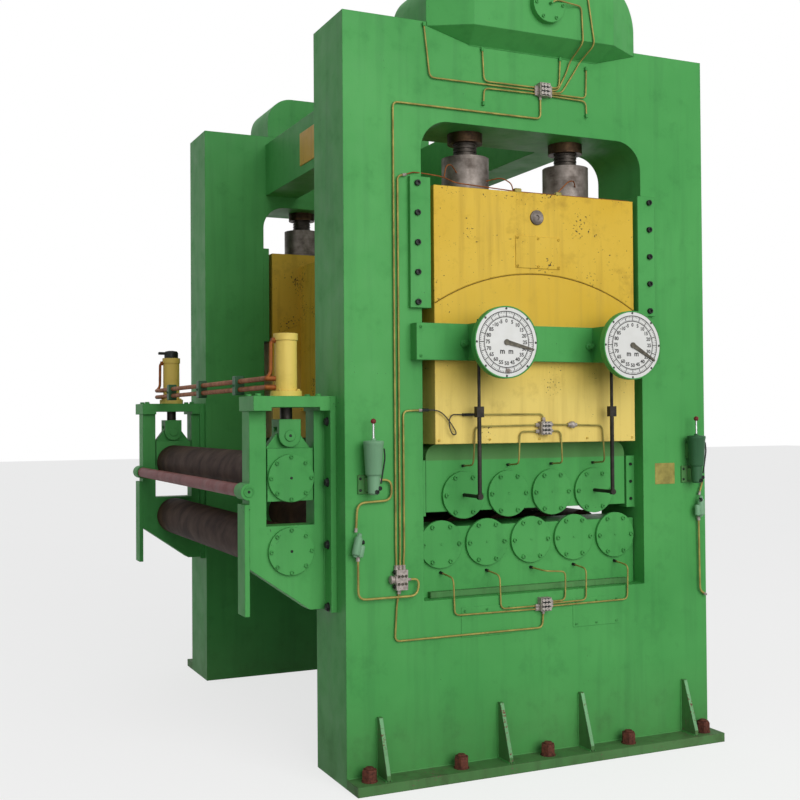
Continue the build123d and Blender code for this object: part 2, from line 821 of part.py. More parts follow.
# Caps with feet on the bracket posts, bored for the piston rods
with BuildPart() as pinch_caps:
    slab(bracket_edge_x - cap_edge, flange_face_x, -flange_far_y, -flange_near_y,
         bracket_top_z + cap_foot_height, cap_top_z)
    slab(bracket_edge_x - cap_edge, slot_low_x, -flange_far_y, -flange_near_y,
         bracket_top_z, bracket_top_z + cap_foot_height)
    slab(slot_high_x, flange_face_x, -flange_far_y, -flange_near_y,
         bracket_top_z, bracket_top_z + cap_foot_height)
    round_z(pinch_x, -bracket_middle_y, bracket_top_z, cap_top_z + cut_overrun,
            piston_rod_radius + running_clearance, Mode.SUBTRACT)
    mirror(about=Plane.XZ)
write(pinch_caps, "pinch_caps")

# Cylinders with a base flange and a head, bored for the piston rods
with BuildPart() as pinch_cylinders:
    round_z(pinch_x, -bracket_middle_y, cap_top_z, cylinder_top_z, cylinder_radius)
    round_z(pinch_x, -bracket_middle_y, cap_top_z, cap_top_z + cylinder_flange_height,
            cylinder_flange_radius)
    round_z(pinch_x, -bracket_middle_y, cylinder_top_z - cylinder_head_height, cylinder_top_z,
            cylinder_head_radius)
    round_z(pinch_x, -bracket_middle_y, cap_top_z - cut_overrun, cylinder_top_z - cylinder_lid,
            piston_rod_radius + running_clearance, Mode.SUBTRACT)
    mirror(about=Plane.XZ)
write(pinch_cylinders, "pinch_cylinders")

with BuildPart() as pinch_lower_covers:
    round_y(pinch_x, -bracket_outer_y - pinch_cover_depth, -bracket_outer_y, pinch_lower_z,
            pinch_cover_radius)
    mirror(about=Plane.XZ)
write(pinch_lower_covers, "pinch_lower_covers")

# Hydraulic pipes from cylinder to cylinder
with BuildPart() as pinch_pipes:
    for pipe_z in pipe_heights:
        pipe_end_x = pinch_x - cylinder_radius - pipe_seat_gap
        round_y(pipe_x, -bracket_middle_y, bracket_middle_y, pipe_z, pipe_radius)
        for end_y in (-bracket_middle_y, bracket_middle_y):
            round_x(pipe_x, pipe_end_x, end_y, pipe_z, pipe_radius)
            with Locations((pipe_x, end_y, pipe_z)):
                Sphere(pipe_radius)
write(pinch_pipes, "pinch_pipes")

# Pinch chocks with a lug on top, and the clevises of the piston rods
with BuildPart() as pinch_chocks:
    chock_x = pinch_chock_width / 2
    lug_foot_x = chock_x - chock_lug_inset
    lug_top_x = clevis_x - chock_lug_inset - chock_lug_taper
    slab(pinch_x - chock_x, pinch_x + chock_x, -bracket_outer_y, -bracket_inner_y,
         pinch_chock_low_z, pinch_chock_top_z)
    upright_plate(
        (
            (pinch_x - lug_foot_x, pinch_chock_top_z),
            (pinch_x + lug_foot_x, pinch_chock_top_z),
            (pinch_x + lug_top_x, clevis_top_z - clevis_crown - chock_lug_gap),
            (pinch_x - lug_top_x, clevis_top_z - clevis_crown - chock_lug_gap),
        ),
        -bracket_middle_y - chock_lug_thickness / 2, -bracket_middle_y + chock_lug_thickness / 2,
    )
    round_y(pinch_x, -bracket_outer_y - cut_overrun, -bracket_inner_y + cut_overrun, pinch_upper_z,
            pinch_neck_radius + running_clearance, Mode.SUBTRACT)
    round_y(pinch_x, -bracket_outer_y, -bracket_inner_y, clevis_pin_z,
            clevis_pin_radius + running_clearance, Mode.SUBTRACT)
    mirror(about=Plane.XZ)
write(pinch_chocks, "pinch_chocks")

with BuildPart() as pinch_clevises:
    slab(pinch_x - clevis_x, pinch_x + clevis_x, -bracket_outer_y, -bracket_inner_y,
         clevis_pin_z, clevis_top_z)
    round_y(pinch_x, -bracket_outer_y, -bracket_inner_y, clevis_pin_z, clevis_x)
    slab(pinch_x - pinch_chock_width / 2, pinch_x + pinch_chock_width / 2,
         -bracket_middle_y - chock_lug_thickness / 2 - chock_lug_gap,
         -bracket_middle_y + chock_lug_thickness / 2 + chock_lug_gap,
         clevis_pin_z - clevis_width, clevis_top_z - clevis_crown, Mode.SUBTRACT)
    round_y(pinch_x, -bracket_outer_y - clevis_pin_proud, -bracket_inner_y + clevis_pin_proud, clevis_pin_z,
            clevis_pin_radius)
    mirror(about=Plane.XZ)
write(pinch_clevises, "pinch_clevises")

with BuildPart() as pinch_rods:
    round_z(pinch_x, -bracket_middle_y, clevis_top_z, piston_rod_top_z, piston_rod_radius)
    mirror(about=Plane.XZ)
write(pinch_rods, "pinch_rods")

with BuildPart() as pinch_upper_covers:
    round_y(pinch_x, -bracket_outer_y - pinch_cover_depth, -bracket_outer_y, pinch_upper_z,
            pinch_cover_radius)
    mirror(about=Plane.XZ)
write(pinch_upper_covers, "pinch_upper_covers")

# Pinch rolls
for pinch_name, pinch_z in (("pinch_lower_roll", pinch_lower_z), ("pinch_upper_roll", pinch_upper_z)):
    with BuildPart() as pinch_roll:
        pinch_barrel_y = bracket_inner_y - barrel_end_clearance
        pinch_neck_y = bracket_outer_y - neck_end_clearance
        round_y(pinch_x, -pinch_barrel_y, pinch_barrel_y, pinch_z, pinch_roll_radius)
        round_y(pinch_x, -pinch_neck_y, pinch_neck_y, pinch_z, pinch_neck_radius)
    write(pinch_roll, pinch_name)

# Hand pumps on the near housing: a back plate, a foot, a body and a ball-ended lever
with BuildPart() as lube_pumps:
    pump_y = -outer_y - pump_offset
    for pump_x in pump_places:
        slab(pump_x - pump_plate_width / 2, pump_x + pump_plate_width / 2,
             -outer_y - pump_plate_thickness, -outer_y,
             pump_plate_low_z, pump_plate_low_z + pump_plate_height)
        slab(pump_x - pump_foot_radius, pump_x + pump_foot_radius, pump_y, -outer_y,
             pump_plate_low_z, pump_plate_low_z + pump_plate_height)
        round_z(pump_x, pump_y, pump_low_z, pump_body_low_z, pump_foot_radius)
        round_z(pump_x, pump_y, pump_body_low_z, pump_body_top_z, pump_body_radius)
        round_z(pump_x, pump_y, pump_body_top_z, pump_ball_z, pump_stem_radius)
        with Locations((pump_x, pump_y, pump_ball_z)):
            Sphere(pump_ball_radius)
write(lube_pumps, "lube_pumps")

with BuildPart() as lube_filters:
    for filter_x, filter_z in filter_places:
        round_z(filter_x, -outer_y - filter_offset, filter_z - filter_height / 2,
                filter_z + filter_height / 2, filter_radius)
        slab(filter_x - filter_pad_width / 2, filter_x + filter_pad_width / 2, -outer_y - filter_offset,
             -outer_y, filter_z - filter_pad_width / 2, filter_z + filter_pad_width / 2)
write(lube_filters, "lube_filters")

# Distributor blocks on the near housing and on the near rocker block
with BuildPart() as lube_blocks:
    for block_x, block_z, height in block_places:
        slab(block_x - block_width / 2, block_x + block_width / 2, -outer_y - block_depth, -outer_y,
             block_z - height / 2, block_z + height / 2)
write(lube_blocks, "lube_blocks")

with BuildPart() as rocker_lube_block:
    rocker_block_z = rocker_low_z + rocker_block_rise
    slab(rocker_block_x - block_width / 2, rocker_block_x + block_width / 2,
         -block_front_y - block_depth, -block_front_y,
         rocker_block_z - small_block_height / 2, rocker_block_z + small_block_height / 2)
write(rocker_lube_block, "rocker_lube_block")
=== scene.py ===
# %% [markdown]
# # A coil leveler, dressed
# The heavy shapes of this machine, its housings, beams, chocks and rolls, come from the CAD model and stay as
# they are. Blender adds what a painter and a fitter add: worn enamel, screws, oil pipes, dial faces and weld
# beads. Everything is in metres in one shared frame, so a piece goes where the machine says.

# %% Load the machine
import math

import bmesh
import bpy
import numpy as np
from mathutils import Matrix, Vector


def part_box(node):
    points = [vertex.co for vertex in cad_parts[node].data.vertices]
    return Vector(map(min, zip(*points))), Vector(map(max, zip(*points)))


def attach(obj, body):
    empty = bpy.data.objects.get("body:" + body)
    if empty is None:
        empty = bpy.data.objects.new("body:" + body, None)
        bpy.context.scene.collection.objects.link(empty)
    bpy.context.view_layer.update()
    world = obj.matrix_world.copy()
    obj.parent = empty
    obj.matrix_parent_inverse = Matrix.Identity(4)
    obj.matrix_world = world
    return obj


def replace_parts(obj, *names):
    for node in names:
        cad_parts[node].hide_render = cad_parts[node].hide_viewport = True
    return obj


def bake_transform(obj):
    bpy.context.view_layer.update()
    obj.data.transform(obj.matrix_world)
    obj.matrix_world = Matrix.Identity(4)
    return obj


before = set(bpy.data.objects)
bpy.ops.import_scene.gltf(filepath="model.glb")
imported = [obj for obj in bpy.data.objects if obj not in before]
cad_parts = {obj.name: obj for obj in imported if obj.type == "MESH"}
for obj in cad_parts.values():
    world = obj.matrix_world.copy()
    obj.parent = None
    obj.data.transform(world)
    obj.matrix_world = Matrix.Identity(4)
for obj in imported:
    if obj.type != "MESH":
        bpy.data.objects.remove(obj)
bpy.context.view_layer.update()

# %% [markdown]
# ## Objects and poses
# An object in the scene is a name, some data, and a place with three axes. Two short functions link it and stand
# it there. The camera and the lamps use both.

# %% Scene helpers
def shown(name, data):
    """A new object with that data, linked to the scene."""
    made = bpy.data.objects.new(name, data)
    bpy.context.scene.collection.objects.link(made)
    return made


def stand(made, right, up, back, place):
    """The object's pose is a matrix whose columns are its three axes and its place."""
    pose = np.eye(4)
    pose[:3] = np.column_stack([right, up, back, place])
    made.matrix_world = Matrix(pose.tolist())
    return made


print("scene helpers ready")

# %% [markdown]
# ## The eye
# The machine is seen from its entry corner, a little below the middle of the window. A camera could be aimed at
# a target, but three plain angles say the same and are easy to change: yaw turns it towards the exit side, pitch
# lifts it and roll leans it.

# %% Camera
eye = np.array([-2.667, -5.629, 1.509])
yaw, pitch, roll = np.radians([24.54, 0.94, 0.41])
forward = np.array([math.sin(yaw) * math.cos(pitch), math.cos(yaw) * math.cos(pitch), math.sin(pitch)])
level = np.array([math.cos(yaw), -math.sin(yaw), 0.0])
down = np.cross(forward, level)
right = math.cos(roll) * level + math.sin(roll) * down
up = math.sin(roll) * level - math.cos(roll) * down
lens = bpy.data.cameras.new("eye")
lens.sensor_width = 36.0
lens.lens = 51.69
bpy.context.scene.camera = stand(shown("eye", lens), right, up, -forward, eye)
print("camera", eye, "lens", lens.lens)

# %% [markdown]
# ## Colours and nodes
# Colours are picked as the hex values of a screen, while Blender mixes light in linear values, so one function
# turns one into the other. A second one adds a shader node with its settings and its links in one line.

# %% Colour and node helpers
def linear(hex_colour):
    """Screen hex to linear light: each channel over 255, then the sRGB curve undone, with full opacity."""
    screen = np.array([int(hex_colour[i:i + 2], 16) for i in (1, 3, 5)]) / 255
    light = np.where(screen <= 0.04045, screen / 12.92, ((screen + 0.055) / 1.055) ** 2.4)
    return (*light.tolist(), 1.0)


def add(tree, kind, options, **inputs):
    """A new node of that kind with its options set; inputs are named by socket, with _ for a space, or as s0, s6
    by number. A socket given as a value is linked, and anything else becomes the input's own value."""
    node = tree.nodes.new(kind)
    for name, value in options.items():
        setattr(node, name, value)
    for name, value in inputs.items():
        numbered = name[0] == "s" and name[1:].isdigit()
        socket = node.inputs[int(name[1:]) if numbered else name.replace("_", " ")]
        if isinstance(value, bpy.types.NodeSocket):
            tree.links.new(value, socket)
        else:
            socket.default_value = value
    return node


def blank(name):
    """A new material with only its shader: the tree, the shader and the object's own coordinates."""
    material = bpy.data.materials.new(name)
    material.use_nodes = True
    tree = material.node_tree
    shader = tree.nodes["Principled BSDF"]
    place = add(tree, "ShaderNodeTexCoord", {}).outputs["Object"]
    return material, tree, shader, place


print("green enamel in linear light:", linear("#4f9f55"))

# %% [markdown]
# ## Five useful nodes
# Wear and dirt are always the same few steps: noise of a real size, a ramp that keeps part of it, a sum, one colour
# over another, and a bump. Each step gives back the socket that the next one takes.

# %% Node steps
def noise(tree, place, size, detail, roughness=0.5):
    """Noise from 0 to 1, with features of about that size in metres."""
    return add(tree, "ShaderNodeTexNoise", {}, Vector=place, Scale=1 / size, Detail=detail,
               Roughness=roughness).outputs[0]


def ramp(tree, value, low, high, bottom=0.0, top=1.0):
    """Bottom where the value is low, top where it is high, straight between them and level beyond."""
    return add(tree, "ShaderNodeMapRange", {}, Value=value, s1=low, s2=high, s3=bottom, s4=top).outputs[0]


def maths(tree, operation, *values, clamp=False):
    """One sum of two or three values, each a number or a socket."""
    inputs = {f"s{number}": value for number, value in enumerate(values)}
    return add(tree, "ShaderNodeMath", {"operation": operation, "use_clamp": clamp}, **inputs).outputs[0]


def mixed(tree, share, under, over):
    """The second colour laid over the first by a share; each is a hex value or a socket."""
    first, second = [linear(colour) if isinstance(colour, str) else colour for colour in (under, over)]
    return add(tree, "ShaderNodeMix", {"data_type": "RGBA"}, s0=share, s6=first, s7=second).outputs[2]


def bump(tree, height, strength, distance, normal):
    """The normal leaned by the slope of a height."""
    return add(tree, "ShaderNodeBump", {}, Strength=strength, Distance=distance, Height=height,
               Normal=normal).outputs[0]


def clouded(name, size, detail, first, second, roughness):
    """A plain finish: two tones mixed by clouds of one size, equally rough all over."""
    material, tree, shader, place = blank(name)
    tone = mixed(tree, noise(tree, place, size, detail), first, second)
    tree.links.new(tone, shader.inputs["Base Color"])
    shader.inputs["Roughness"].default_value = roughness
    return material, tree, shader, place, tone


print("node steps ready")

# %% [markdown]
# ## Brushed enamel
# The housings and beams are thick plate, filled, rubbed down and brushed with oil enamel. To the eye that is a
# satin skin with slow waves in it, patches that have faded, dark runs of oil, grey grime near the floor, small
# chips, and edges where the coat is thin. All of it is noise at real sizes, and the Bevel node finds the edges,
# so one function serves green, yellow, red and dark green alike. One option darkens all above one height, a
# painted shade under an overhang; another paints the coat paler below a height, a painted light.

# %% Enamel
def enamel(name, coat, faded, stain, under, chipped, runs_share, gloss, shade_from=None, lit_below=None):
    """Two shades mixed by half-metre patches, darkened by tall runs and floor grime, with chips and worn edges;
    shade_from is the height above which painted shade darkens the coat, and lit_below is the height and the
    colour of a paler coat painted below it as painted light."""
    material, tree, shader, place = blank(name)
    height = add(tree, "ShaderNodeSeparateXYZ", {}, Vector=place).outputs["Z"]
    colour = mixed(tree, ramp(tree, noise(tree, place, 0.55, 3.0), 0.35, 0.65), coat, faded)
    if lit_below is not None:
        # Painted light: the paler coat grows over the 350 mm below its height.
        reach, pale = lit_below
        colour = mixed(tree, ramp(tree, height, reach, reach - 0.35), colour, pale)
    # Oil and rain leave runs about 70 mm wide and a metre tall.
    tall = add(tree, "ShaderNodeMapping", {}, Vector=place, Scale=(1 / 0.07, 1 / 0.07, 1 / 1.0)).outputs[0]
    runs = ramp(tree, noise(tree, tall, 1.0, 5.0, 0.6), 0.5, 0.78, top=runs_share)
    colour = mixed(tree, runs, colour, stain)
    # Smudges of a hand's width.
    smudges = noise(tree, place, 0.11, 6.0, 0.65)
    colour = mixed(tree, ramp(tree, smudges, 0.55, 0.8, top=runs_share), colour, stain)
    # Grime thickens over the lowest 400 mm.
    low = ramp(tree, height, 0.4, 0.0, top=0.55)
    colour = mixed(tree, maths(tree, "MULTIPLY", low, smudges), colour, "#4b4a33")
    if shade_from is not None:
        # Painted shade: all above the height leans half way to olive, with an edge 4 mm wide.
        colour = mixed(tree, ramp(tree, height, shade_from, shade_from + 0.004, top=0.5), colour, "#55633a")
    # The turned edge is where the bevelled normal leaves the flat one.
    rounded = add(tree, "ShaderNodeBevel", {"samples": 4}, Radius=0.005).outputs[0]
    flat = add(tree, "ShaderNodeNewGeometry", {}).outputs["Normal"]
    turn = add(tree, "ShaderNodeVectorMath", {"operation": "DOT_PRODUCT"}, s0=rounded, s1=flat).outputs["Value"]
    nibbled = ramp(tree, noise(tree, place, 0.02, 4.0, 0.7), 0.5, 0.66)
    worn = maths(tree, "MULTIPLY", ramp(tree, turn, 0.995, 0.9), nibbled)
    colour = mixed(tree, maths(tree, "MULTIPLY", worn, 0.55), colour, under)
    # Chips are 11 mm flakes that keep together in a few knocked places.
    knocked = ramp(tree, noise(tree, place, 0.16, 2.0), 0.5, 0.72, top=0.14)
    flaked = maths(tree, "ADD", noise(tree, place, 0.011, 3.0, 0.6), knocked)
    colour = mixed(tree, ramp(tree, flaked, chipped, chipped + 0.03), colour, under)
    tree.links.new(colour, shader.inputs["Base Color"])
    # The smudges dull the satin gloss, and years of oil dust leave only part of the shine.
    tree.links.new(ramp(tree, smudges, 0.3, 0.75, gloss, gloss + 0.18), shader.inputs["Roughness"])
    shader.inputs["Specular IOR Level"].default_value = 0.22
    # Filler waves are about 90 mm long. Orange peel is 2 mm, drawn at 6 mm so that it shows.
    wavy = bump(tree, noise(tree, place, 0.09, 2.0), 0.14, 0.01, rounded)
    peeled = bump(tree, noise(tree, place, 0.006, 1.0), 0.08, 0.002, wavy)
    tree.links.new(peeled, shader.inputs["Normal"])
    return material


green = enamel("green_oil_enamel", "#43954a", "#4fa154", "#2f6b37", "#27342a", 0.80, 0.34, 0.46)
# Painted shade: the upper chocks are darkened above 1.326 m, just under the overhanging rocker.
rocker_shaded_green = enamel("rocker_shaded_green_enamel", "#43954a", "#4fa154", "#2f6b37", "#27342a", 0.80, 0.34, 0.46, 1.326)
foot_green = enamel("floor_soiled_green_enamel", "#467f44", "#558a50", "#36502f", "#6b5a4c", 0.70, 0.7, 0.55)
yellow = enamel("yellow_oil_enamel", "#d2ab30", "#dab642", "#9c7a2c", "#2e2a20", 0.695, 0.6, 0.48)
pale_yellow = enamel("faded_yellow_oil_enamel", "#dfc259", "#e6cc6c", "#b29144", "#2e2a20", 0.755, 0.42, 0.48)
# Painted light: the rocker's coat is painted paler below 1.93 m, as if its lower part were lit more.
lower_lit_yellow = enamel("lower_lit_yellow_enamel", "#d2ab30", "#dab642", "#a98a40", "#2e2a20", 0.755, 0.5, 0.48,
                      lit_below=(1.93, "#e7cd70"))
red = enamel("red_oxide_enamel", "#6a2122", "#752a29", "#411d1c", "#2c211e", 0.74, 0.5, 0.42)
dark_green = enamel("dark_green_enamel", "#2f5a3a", "#386643", "#1d3524", "#171b18", 0.78, 0.4, 0.40)
print("enamels:", green.name, yellow.name, red.name, dark_green.name)

# %% [markdown]
# ## Bare metals
# Screws, rolls, rods and pipes have no paint. Turned steel shows rings round its axis, an oiled roll is nearly
# black, drawn tube is bright with brown spots, and hard chrome is a mirror. One function mixes two tones by
# blotches and fine lines; the lines' direction comes from stretching the coordinates.

# %% Metals
def metal(name, bright, dull, blotch, line, line_axis, roughness, metallic, line_depth, sheen=0.3):
    """Blotches of one size mix two tones, and lines across one axis give the marks of the tool."""
    material, tree, shader, place = blank(name)
    blotches = noise(tree, place, blotch, 5.0, 0.6)
    # Lines are forty times longer than they are wide.
    stretch = tuple(1 / line if axis == line_axis else 1 / (40 * line) for axis in "XYZ")
    along = add(tree, "ShaderNodeMapping", {}, Vector=place, Scale=stretch).outputs[0]
    lines = noise(tree, along, 1.0, 3.0)
    tone = maths(tree, "MULTIPLY_ADD", lines, 0.5, ramp(tree, blotches, 0.36, 0.66))
    shifted = maths(tree, "SUBTRACT", tone, 0.25, clamp=True)
    tree.links.new(mixed(tree, shifted, bright, dull), shader.inputs["Base Color"])
    tree.links.new(ramp(tree, blotches, 0.3, 0.7, roughness, roughness + 0.16), shader.inputs["Roughness"])
    shader.inputs["Metallic"].default_value = metallic
    shader.inputs["Specular IOR Level"].default_value = sheen
    rounded = add(tree, "ShaderNodeBevel", {"samples": 4}, Radius=0.002).outputs[0]
    tree.links.new(bump(tree, lines, line_depth, 0.001, rounded), shader.inputs["Normal"])
    return material


turned_steel = metal("oiled_turned_steel", "#827a74", "#4f4741", 0.07, 0.006, "Z", 0.46, 0.6, 0.35)
roll_steel = metal("oiled_ground_roll_steel", "#3a2519", "#22150f", 0.12, 0.012, "Y", 0.62, 0.0, 0.2, 0.13)
black_steel = metal("blackened_bolt_steel", "#2c302d", "#161917", 0.01, 0.004, "Z", 0.42, 0.5, 0.1)
rod_steel = metal("oil_darkened_bar_steel", "#35312c", "#201e1b", 0.05, 0.004, "Z", 0.45, 0.6, 0.2)
hand_steel = metal("browned_pointer_steel", "#5f5b50", "#3d3a33", 0.02, 0.004, "X", 0.38, 0.7, 0.2)
chrome = metal("hard_chrome", "#b9bcbb", "#9a9d9c", 0.05, 0.003, "Z", 0.12, 1.0, 0.05)
bronze = metal("cast_nut_bronze", "#54402d", "#2c2119", 0.05, 0.005, "Z", 0.42, 0.9, 0.25)
copper = metal("drawn_copper_tube", "#9a5a2c", "#6d3d1e", 0.04, 0.01, "Y", 0.50, 0.3, 0.1, 0.15)
brass = metal("drawn_brass_tube", "#a2974f", "#7c723a", 0.06, 0.02, "X", 0.42, 0.3, 0.1)
zinc = metal("dirty_zinc_casting", "#b3a9a2", "#857b75", 0.012, 0.004, "X", 0.45, 0.25, 0.2)
thread_steel = metal("oil_blackened_screw_thread", "#4a433d", "#28231f", 0.05, 0.006, "Z", 0.42, 0.5, 0.35)
bright_zinc = metal("bright_zinc_plating", "#d2cbc5", "#b4aba5", 0.01, 0.004, "X", 0.4, 0.1, 0.1)
rust = metal("rusted_anchor_steel", "#6b3a2b", "#3c211b", 0.012, 0.005, "Z", 0.72, 0.15, 0.5)
print("metals made:", turned_steel.name, roll_steel.name, "and eleven more")

# %% [markdown]
# ## Which finish each CAD part takes
# Every part of the frame already carries a slot named after its finish, but the worn paints made here are put on
# part by part from a list, because one slot can look different at two places.

# %% Dress the CAD parts
rolls = [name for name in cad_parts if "_roll" in name and "covers" not in name]
finishes = [
    (green, ["near_housing", "far_housing", "gear_cases", "gear_case_covers", "tie_beams", "beam_guides",
             "chock_keepers", "lower_chocks", "lower_roll_covers", "lower_bed", "gauge_bar", "gauge_boxes",
             "gauge_dials", "pinch_brackets", "entry_plates", "pinch_caps", "pinch_lower_covers", "pinch_chocks",
             "pinch_clevises", "pinch_upper_covers", "upper_roll_covers"]),
    (rocker_shaded_green, ["upper_chocks"]),
    (foot_green, ["base_flanges"]),
    (yellow, ["upper_blocks", "upper_girder"]),
    (lower_lit_yellow, ["rocker_blocks", "rocker_girder"]),
    (pale_yellow, ["pinch_cylinders"]),
    (red, ["entry_bar"]),
    (dark_green, ["lube_pumps", "lube_filters"]),
    (turned_steel, ["screw_cups"]),
    (thread_steel, ["screws"]),
    (bronze, ["screw_nuts"]),
    (rod_steel, ["pinch_rods", "indicator_rods"]),
    (copper, ["pinch_pipes"]),
    (zinc, ["lube_blocks", "rocker_lube_block"]),
    (hand_steel, ["left_pointer", "right_pointer"]),
    (roll_steel, rolls),
]
for material, names in finishes:
    for name in names:
        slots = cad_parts[name].data.materials
        slots.clear()
        slots.append(material)
print("dressed", sum(len(names) for material, names in finishes), "of", len(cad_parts))

# %% [markdown]
# ## Surfaces from numbers
# Every small piece is one of three surfaces: a lathe turns a profile about an axis, a plate lifts a rounded
# outline through a few heights, and a tube carries a circle along a path. Each gives an array of points and an
# array of four-cornered faces, so many copies cost one addition instead of a loop.

# %% Lathe, plate and tube
def grid_faces(rows, columns):
    """Quads between neighbouring rows of a grid whose columns close on themselves."""
    row, column = np.meshgrid(np.arange(rows - 1), np.arange(columns), indexing="ij")
    beside = (column + 1) % columns
    corners = [row * columns + column, row * columns + beside, (row + 1) * columns + beside,
               (row + 1) * columns + column]
    return np.stack(corners, -1).reshape(-1, 4)


def lathe(profile, sides=24, start=0.0):
    """Each profile point (radius, height) goes round the z axis: x = r cos a, y = r sin a, z = height."""
    radius, height = np.array(profile, float).T
    angle = start + np.arange(sides) * 2 * math.pi / sides
    ring = np.stack([np.cos(angle), np.sin(angle)], -1)
    points = np.concatenate([radius[:, None, None] * ring, np.repeat(height, sides).reshape(-1, sides, 1)], -1)
    return points.reshape(-1, 3), grid_faces(len(radius), sides)


def plate(width, height, depth, corner=0.004, chamfer=0.002, sides=24):
    """A rounded rectangle is a corner centre plus a short radius at each angle; it rises by depth along z, draws
    in by the chamfer at the top and closes on a middle point."""
    angle = np.linspace(0, 2 * math.pi, sides, endpoint=False) + math.pi / sides
    unit = np.stack([np.cos(angle), np.sin(angle)], -1)
    centre = np.sign(unit) * (np.array([width, height]) / 2 - corner)
    rises = np.array([[1.0, 0.0], [1.0, depth - chamfer], [1 - chamfer / corner, depth]])
    rims = centre + rises[:, :1, None] * corner * unit
    rims = np.concatenate([rims, np.zeros((1, sides, 2))])
    levels = np.repeat(np.append(rises[:, 1], depth), sides).reshape(-1, sides, 1)
    return np.concatenate([rims, levels], -1).reshape(-1, 3), grid_faces(len(rims), sides)


def rounded_path(route, bend):
    """Each inner corner of the route becomes the curve (1-t)^2 a + 2t(1-t) p + t^2 b, where a and b lie one bend
    length before and after the corner p, or less than half a run where the run is short."""
    route = np.array(route, float)
    runs = np.diff(route, axis=0)
    lengths = np.linalg.norm(runs, axis=1, keepdims=True)
    heading = runs / lengths
    reach = np.minimum(bend, 0.48 * np.minimum(lengths[:-1], lengths[1:]))[:, None, :]
    before = route[1:-1, None] - reach * heading[:-1, None]
    after = route[1:-1, None] + reach * heading[1:, None]
    t = np.linspace(0, 1, 6)[None, :, None]
    curve = (1 - t) ** 2 * before + 2 * t * (1 - t) * route[1:-1, None] + t ** 2 * after
    return np.concatenate([route[:1], curve.reshape(-1, 3), route[-1:]])


def tube(path, radius, sides=10):
    """A circle carried along the path. Its two axes are turned at each station by the smallest turn that keeps
    them square to the path, so the tube never twists; both ends close on a point."""
    path = np.array(path, float)
    heading = np.gradient(path, axis=0)
    heading /= np.linalg.norm(heading, axis=1, keepdims=True)
    side = np.zeros_like(path)
    first = np.eye(3)[np.argmin(np.abs(heading[0]))]
    for station, direction in enumerate(heading):
        first = first - direction * (first @ direction)
        first = first / np.linalg.norm(first)
        side[station] = first
    other = np.cross(heading, side)
    angle = np.arange(sides) * 2 * math.pi / sides
    rim = np.cos(angle)[None, :, None] * side[:, None] + np.sin(angle)[None, :, None] * other[:, None]
    skin = path[:, None] + radius * rim
    ends = np.repeat(path[[0, -1]], sides, axis=0).reshape(2, sides, 3)
    skin = np.concatenate([ends[:1], skin, ends[1:]])
    return skin.reshape(-1, 3), grid_faces(len(path) + 2, sides)


print("surface helpers ready")

# %% [markdown]
# ## Copies and pieces
# A screw is made once, looking along z, and then set on many places of a wall. Turning it means three new axes:
# out of the wall, up the wall and across. Joined meshes are one object, which keeps the outliner short. Doubled
# points at poles and seams are merged before the faces are turned outwards.

# %% Copies and pieces
outward = {"front": (0, -1, 0), "back": (0, 1, 0), "entry": (-1, 0, 0), "exit": (1, 0, 0), "top": (0, 0, 1)}


def set_on(shape, places, facing="front"):
    """Each copy is place + x across + y up + z out, added for all places at once; faces shift by whole copies."""
    points, faces = shape
    out = np.array(outward[facing], float)
    rise = np.array([0, 1.0, 0]) if facing == "top" else np.array([0, 0, 1.0])
    across = np.cross(rise, out)
    turned = points @ np.array([across, rise, out])
    places = np.array(places, float).reshape(-1, 1, 3)
    shift = (np.arange(len(places)) * len(points))[:, None, None]
    return (places + turned).reshape(-1, 3), (shift + faces).reshape(-1, faces.shape[1])


def joined(*shapes):
    """Several shapes as one: points stacked, and each one's faces moved on by the points before it."""
    before = np.cumsum([0] + [len(points) for points, faces in shapes[:-1]])
    return (np.concatenate([points for points, faces in shapes]),
            np.concatenate([faces + shift for (points, faces), shift in zip(shapes, before)]))


def both_sides(places):
    """The same places on the drive side, which mirrors the operator side in Y."""
    return np.array(places, float) * (1, -1, 1)


def on_both(shape, places, facing="front"):
    """Copies on the operator side and on the drive side, where a front faces back."""
    other = "back" if facing == "front" else facing
    return joined(set_on(shape, places, facing), set_on(shape, both_sides(places), other))


def piece(name, shape, material, body, smooth=38):
    """A mesh object from a shape, cleaned, smoothed below an angle, painted, and fixed to a body if one is named."""
    points, faces = shape
    mesh = bpy.data.meshes.new(name)
    mesh.from_pydata(points.tolist(), [], faces.tolist())
    clean = bmesh.new()
    clean.from_mesh(mesh)
    bmesh.ops.remove_doubles(clean, verts=clean.verts, dist=1e-6)
    bmesh.ops.recalc_face_normals(clean, faces=clean.faces)
    clean.to_mesh(mesh)
    clean.free()
    mesh.shade_smooth()
    mesh.set_sharp_from_angle(angle=math.radians(smooth))
    mesh.materials.append(material)
    made = shown(name, mesh)
    if body:
        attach(made, body)
    print(name, len(mesh.polygons), "faces on", body)
    return made


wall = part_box("near_housing")[0].y
chock_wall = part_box("lower_chocks")[0].y
print("operator wall at", round(wall, 4), "chock wall at", round(chock_wall, 4))

# %% [markdown]
# ## Screws of the roll covers
# A round cover closes the bearing of each work roll, held by six cap screws, and each pinch-roll cover by eight.
# The heads were painted over with the covers, so only the key hole stays dark. A cap screw is a lathe with a
# step down at its middle.

# %% Cover screws
def cap_screw(radius):
    """Head as high as its radius, a rounded rim, and a key hole half as wide and half as deep."""
    head = [(radius, 0), (radius, 0.85 * radius), (0.9 * radius, radius), (0.52 * radius, radius),
            (0.5 * radius, 0.45 * radius), (0, 0.45 * radius)]
    return lathe(head, 18)


def circle_of(count, radius, centre, start=0.0):
    """Places on an upright circle that faces the operator: centre + radius (cos a, 0, sin a)."""
    angle = start + np.arange(count) * 2 * math.pi / count
    ring = np.stack([np.cos(angle), np.zeros(count), np.sin(angle)], -1)
    return np.array(centre) + radius * ring


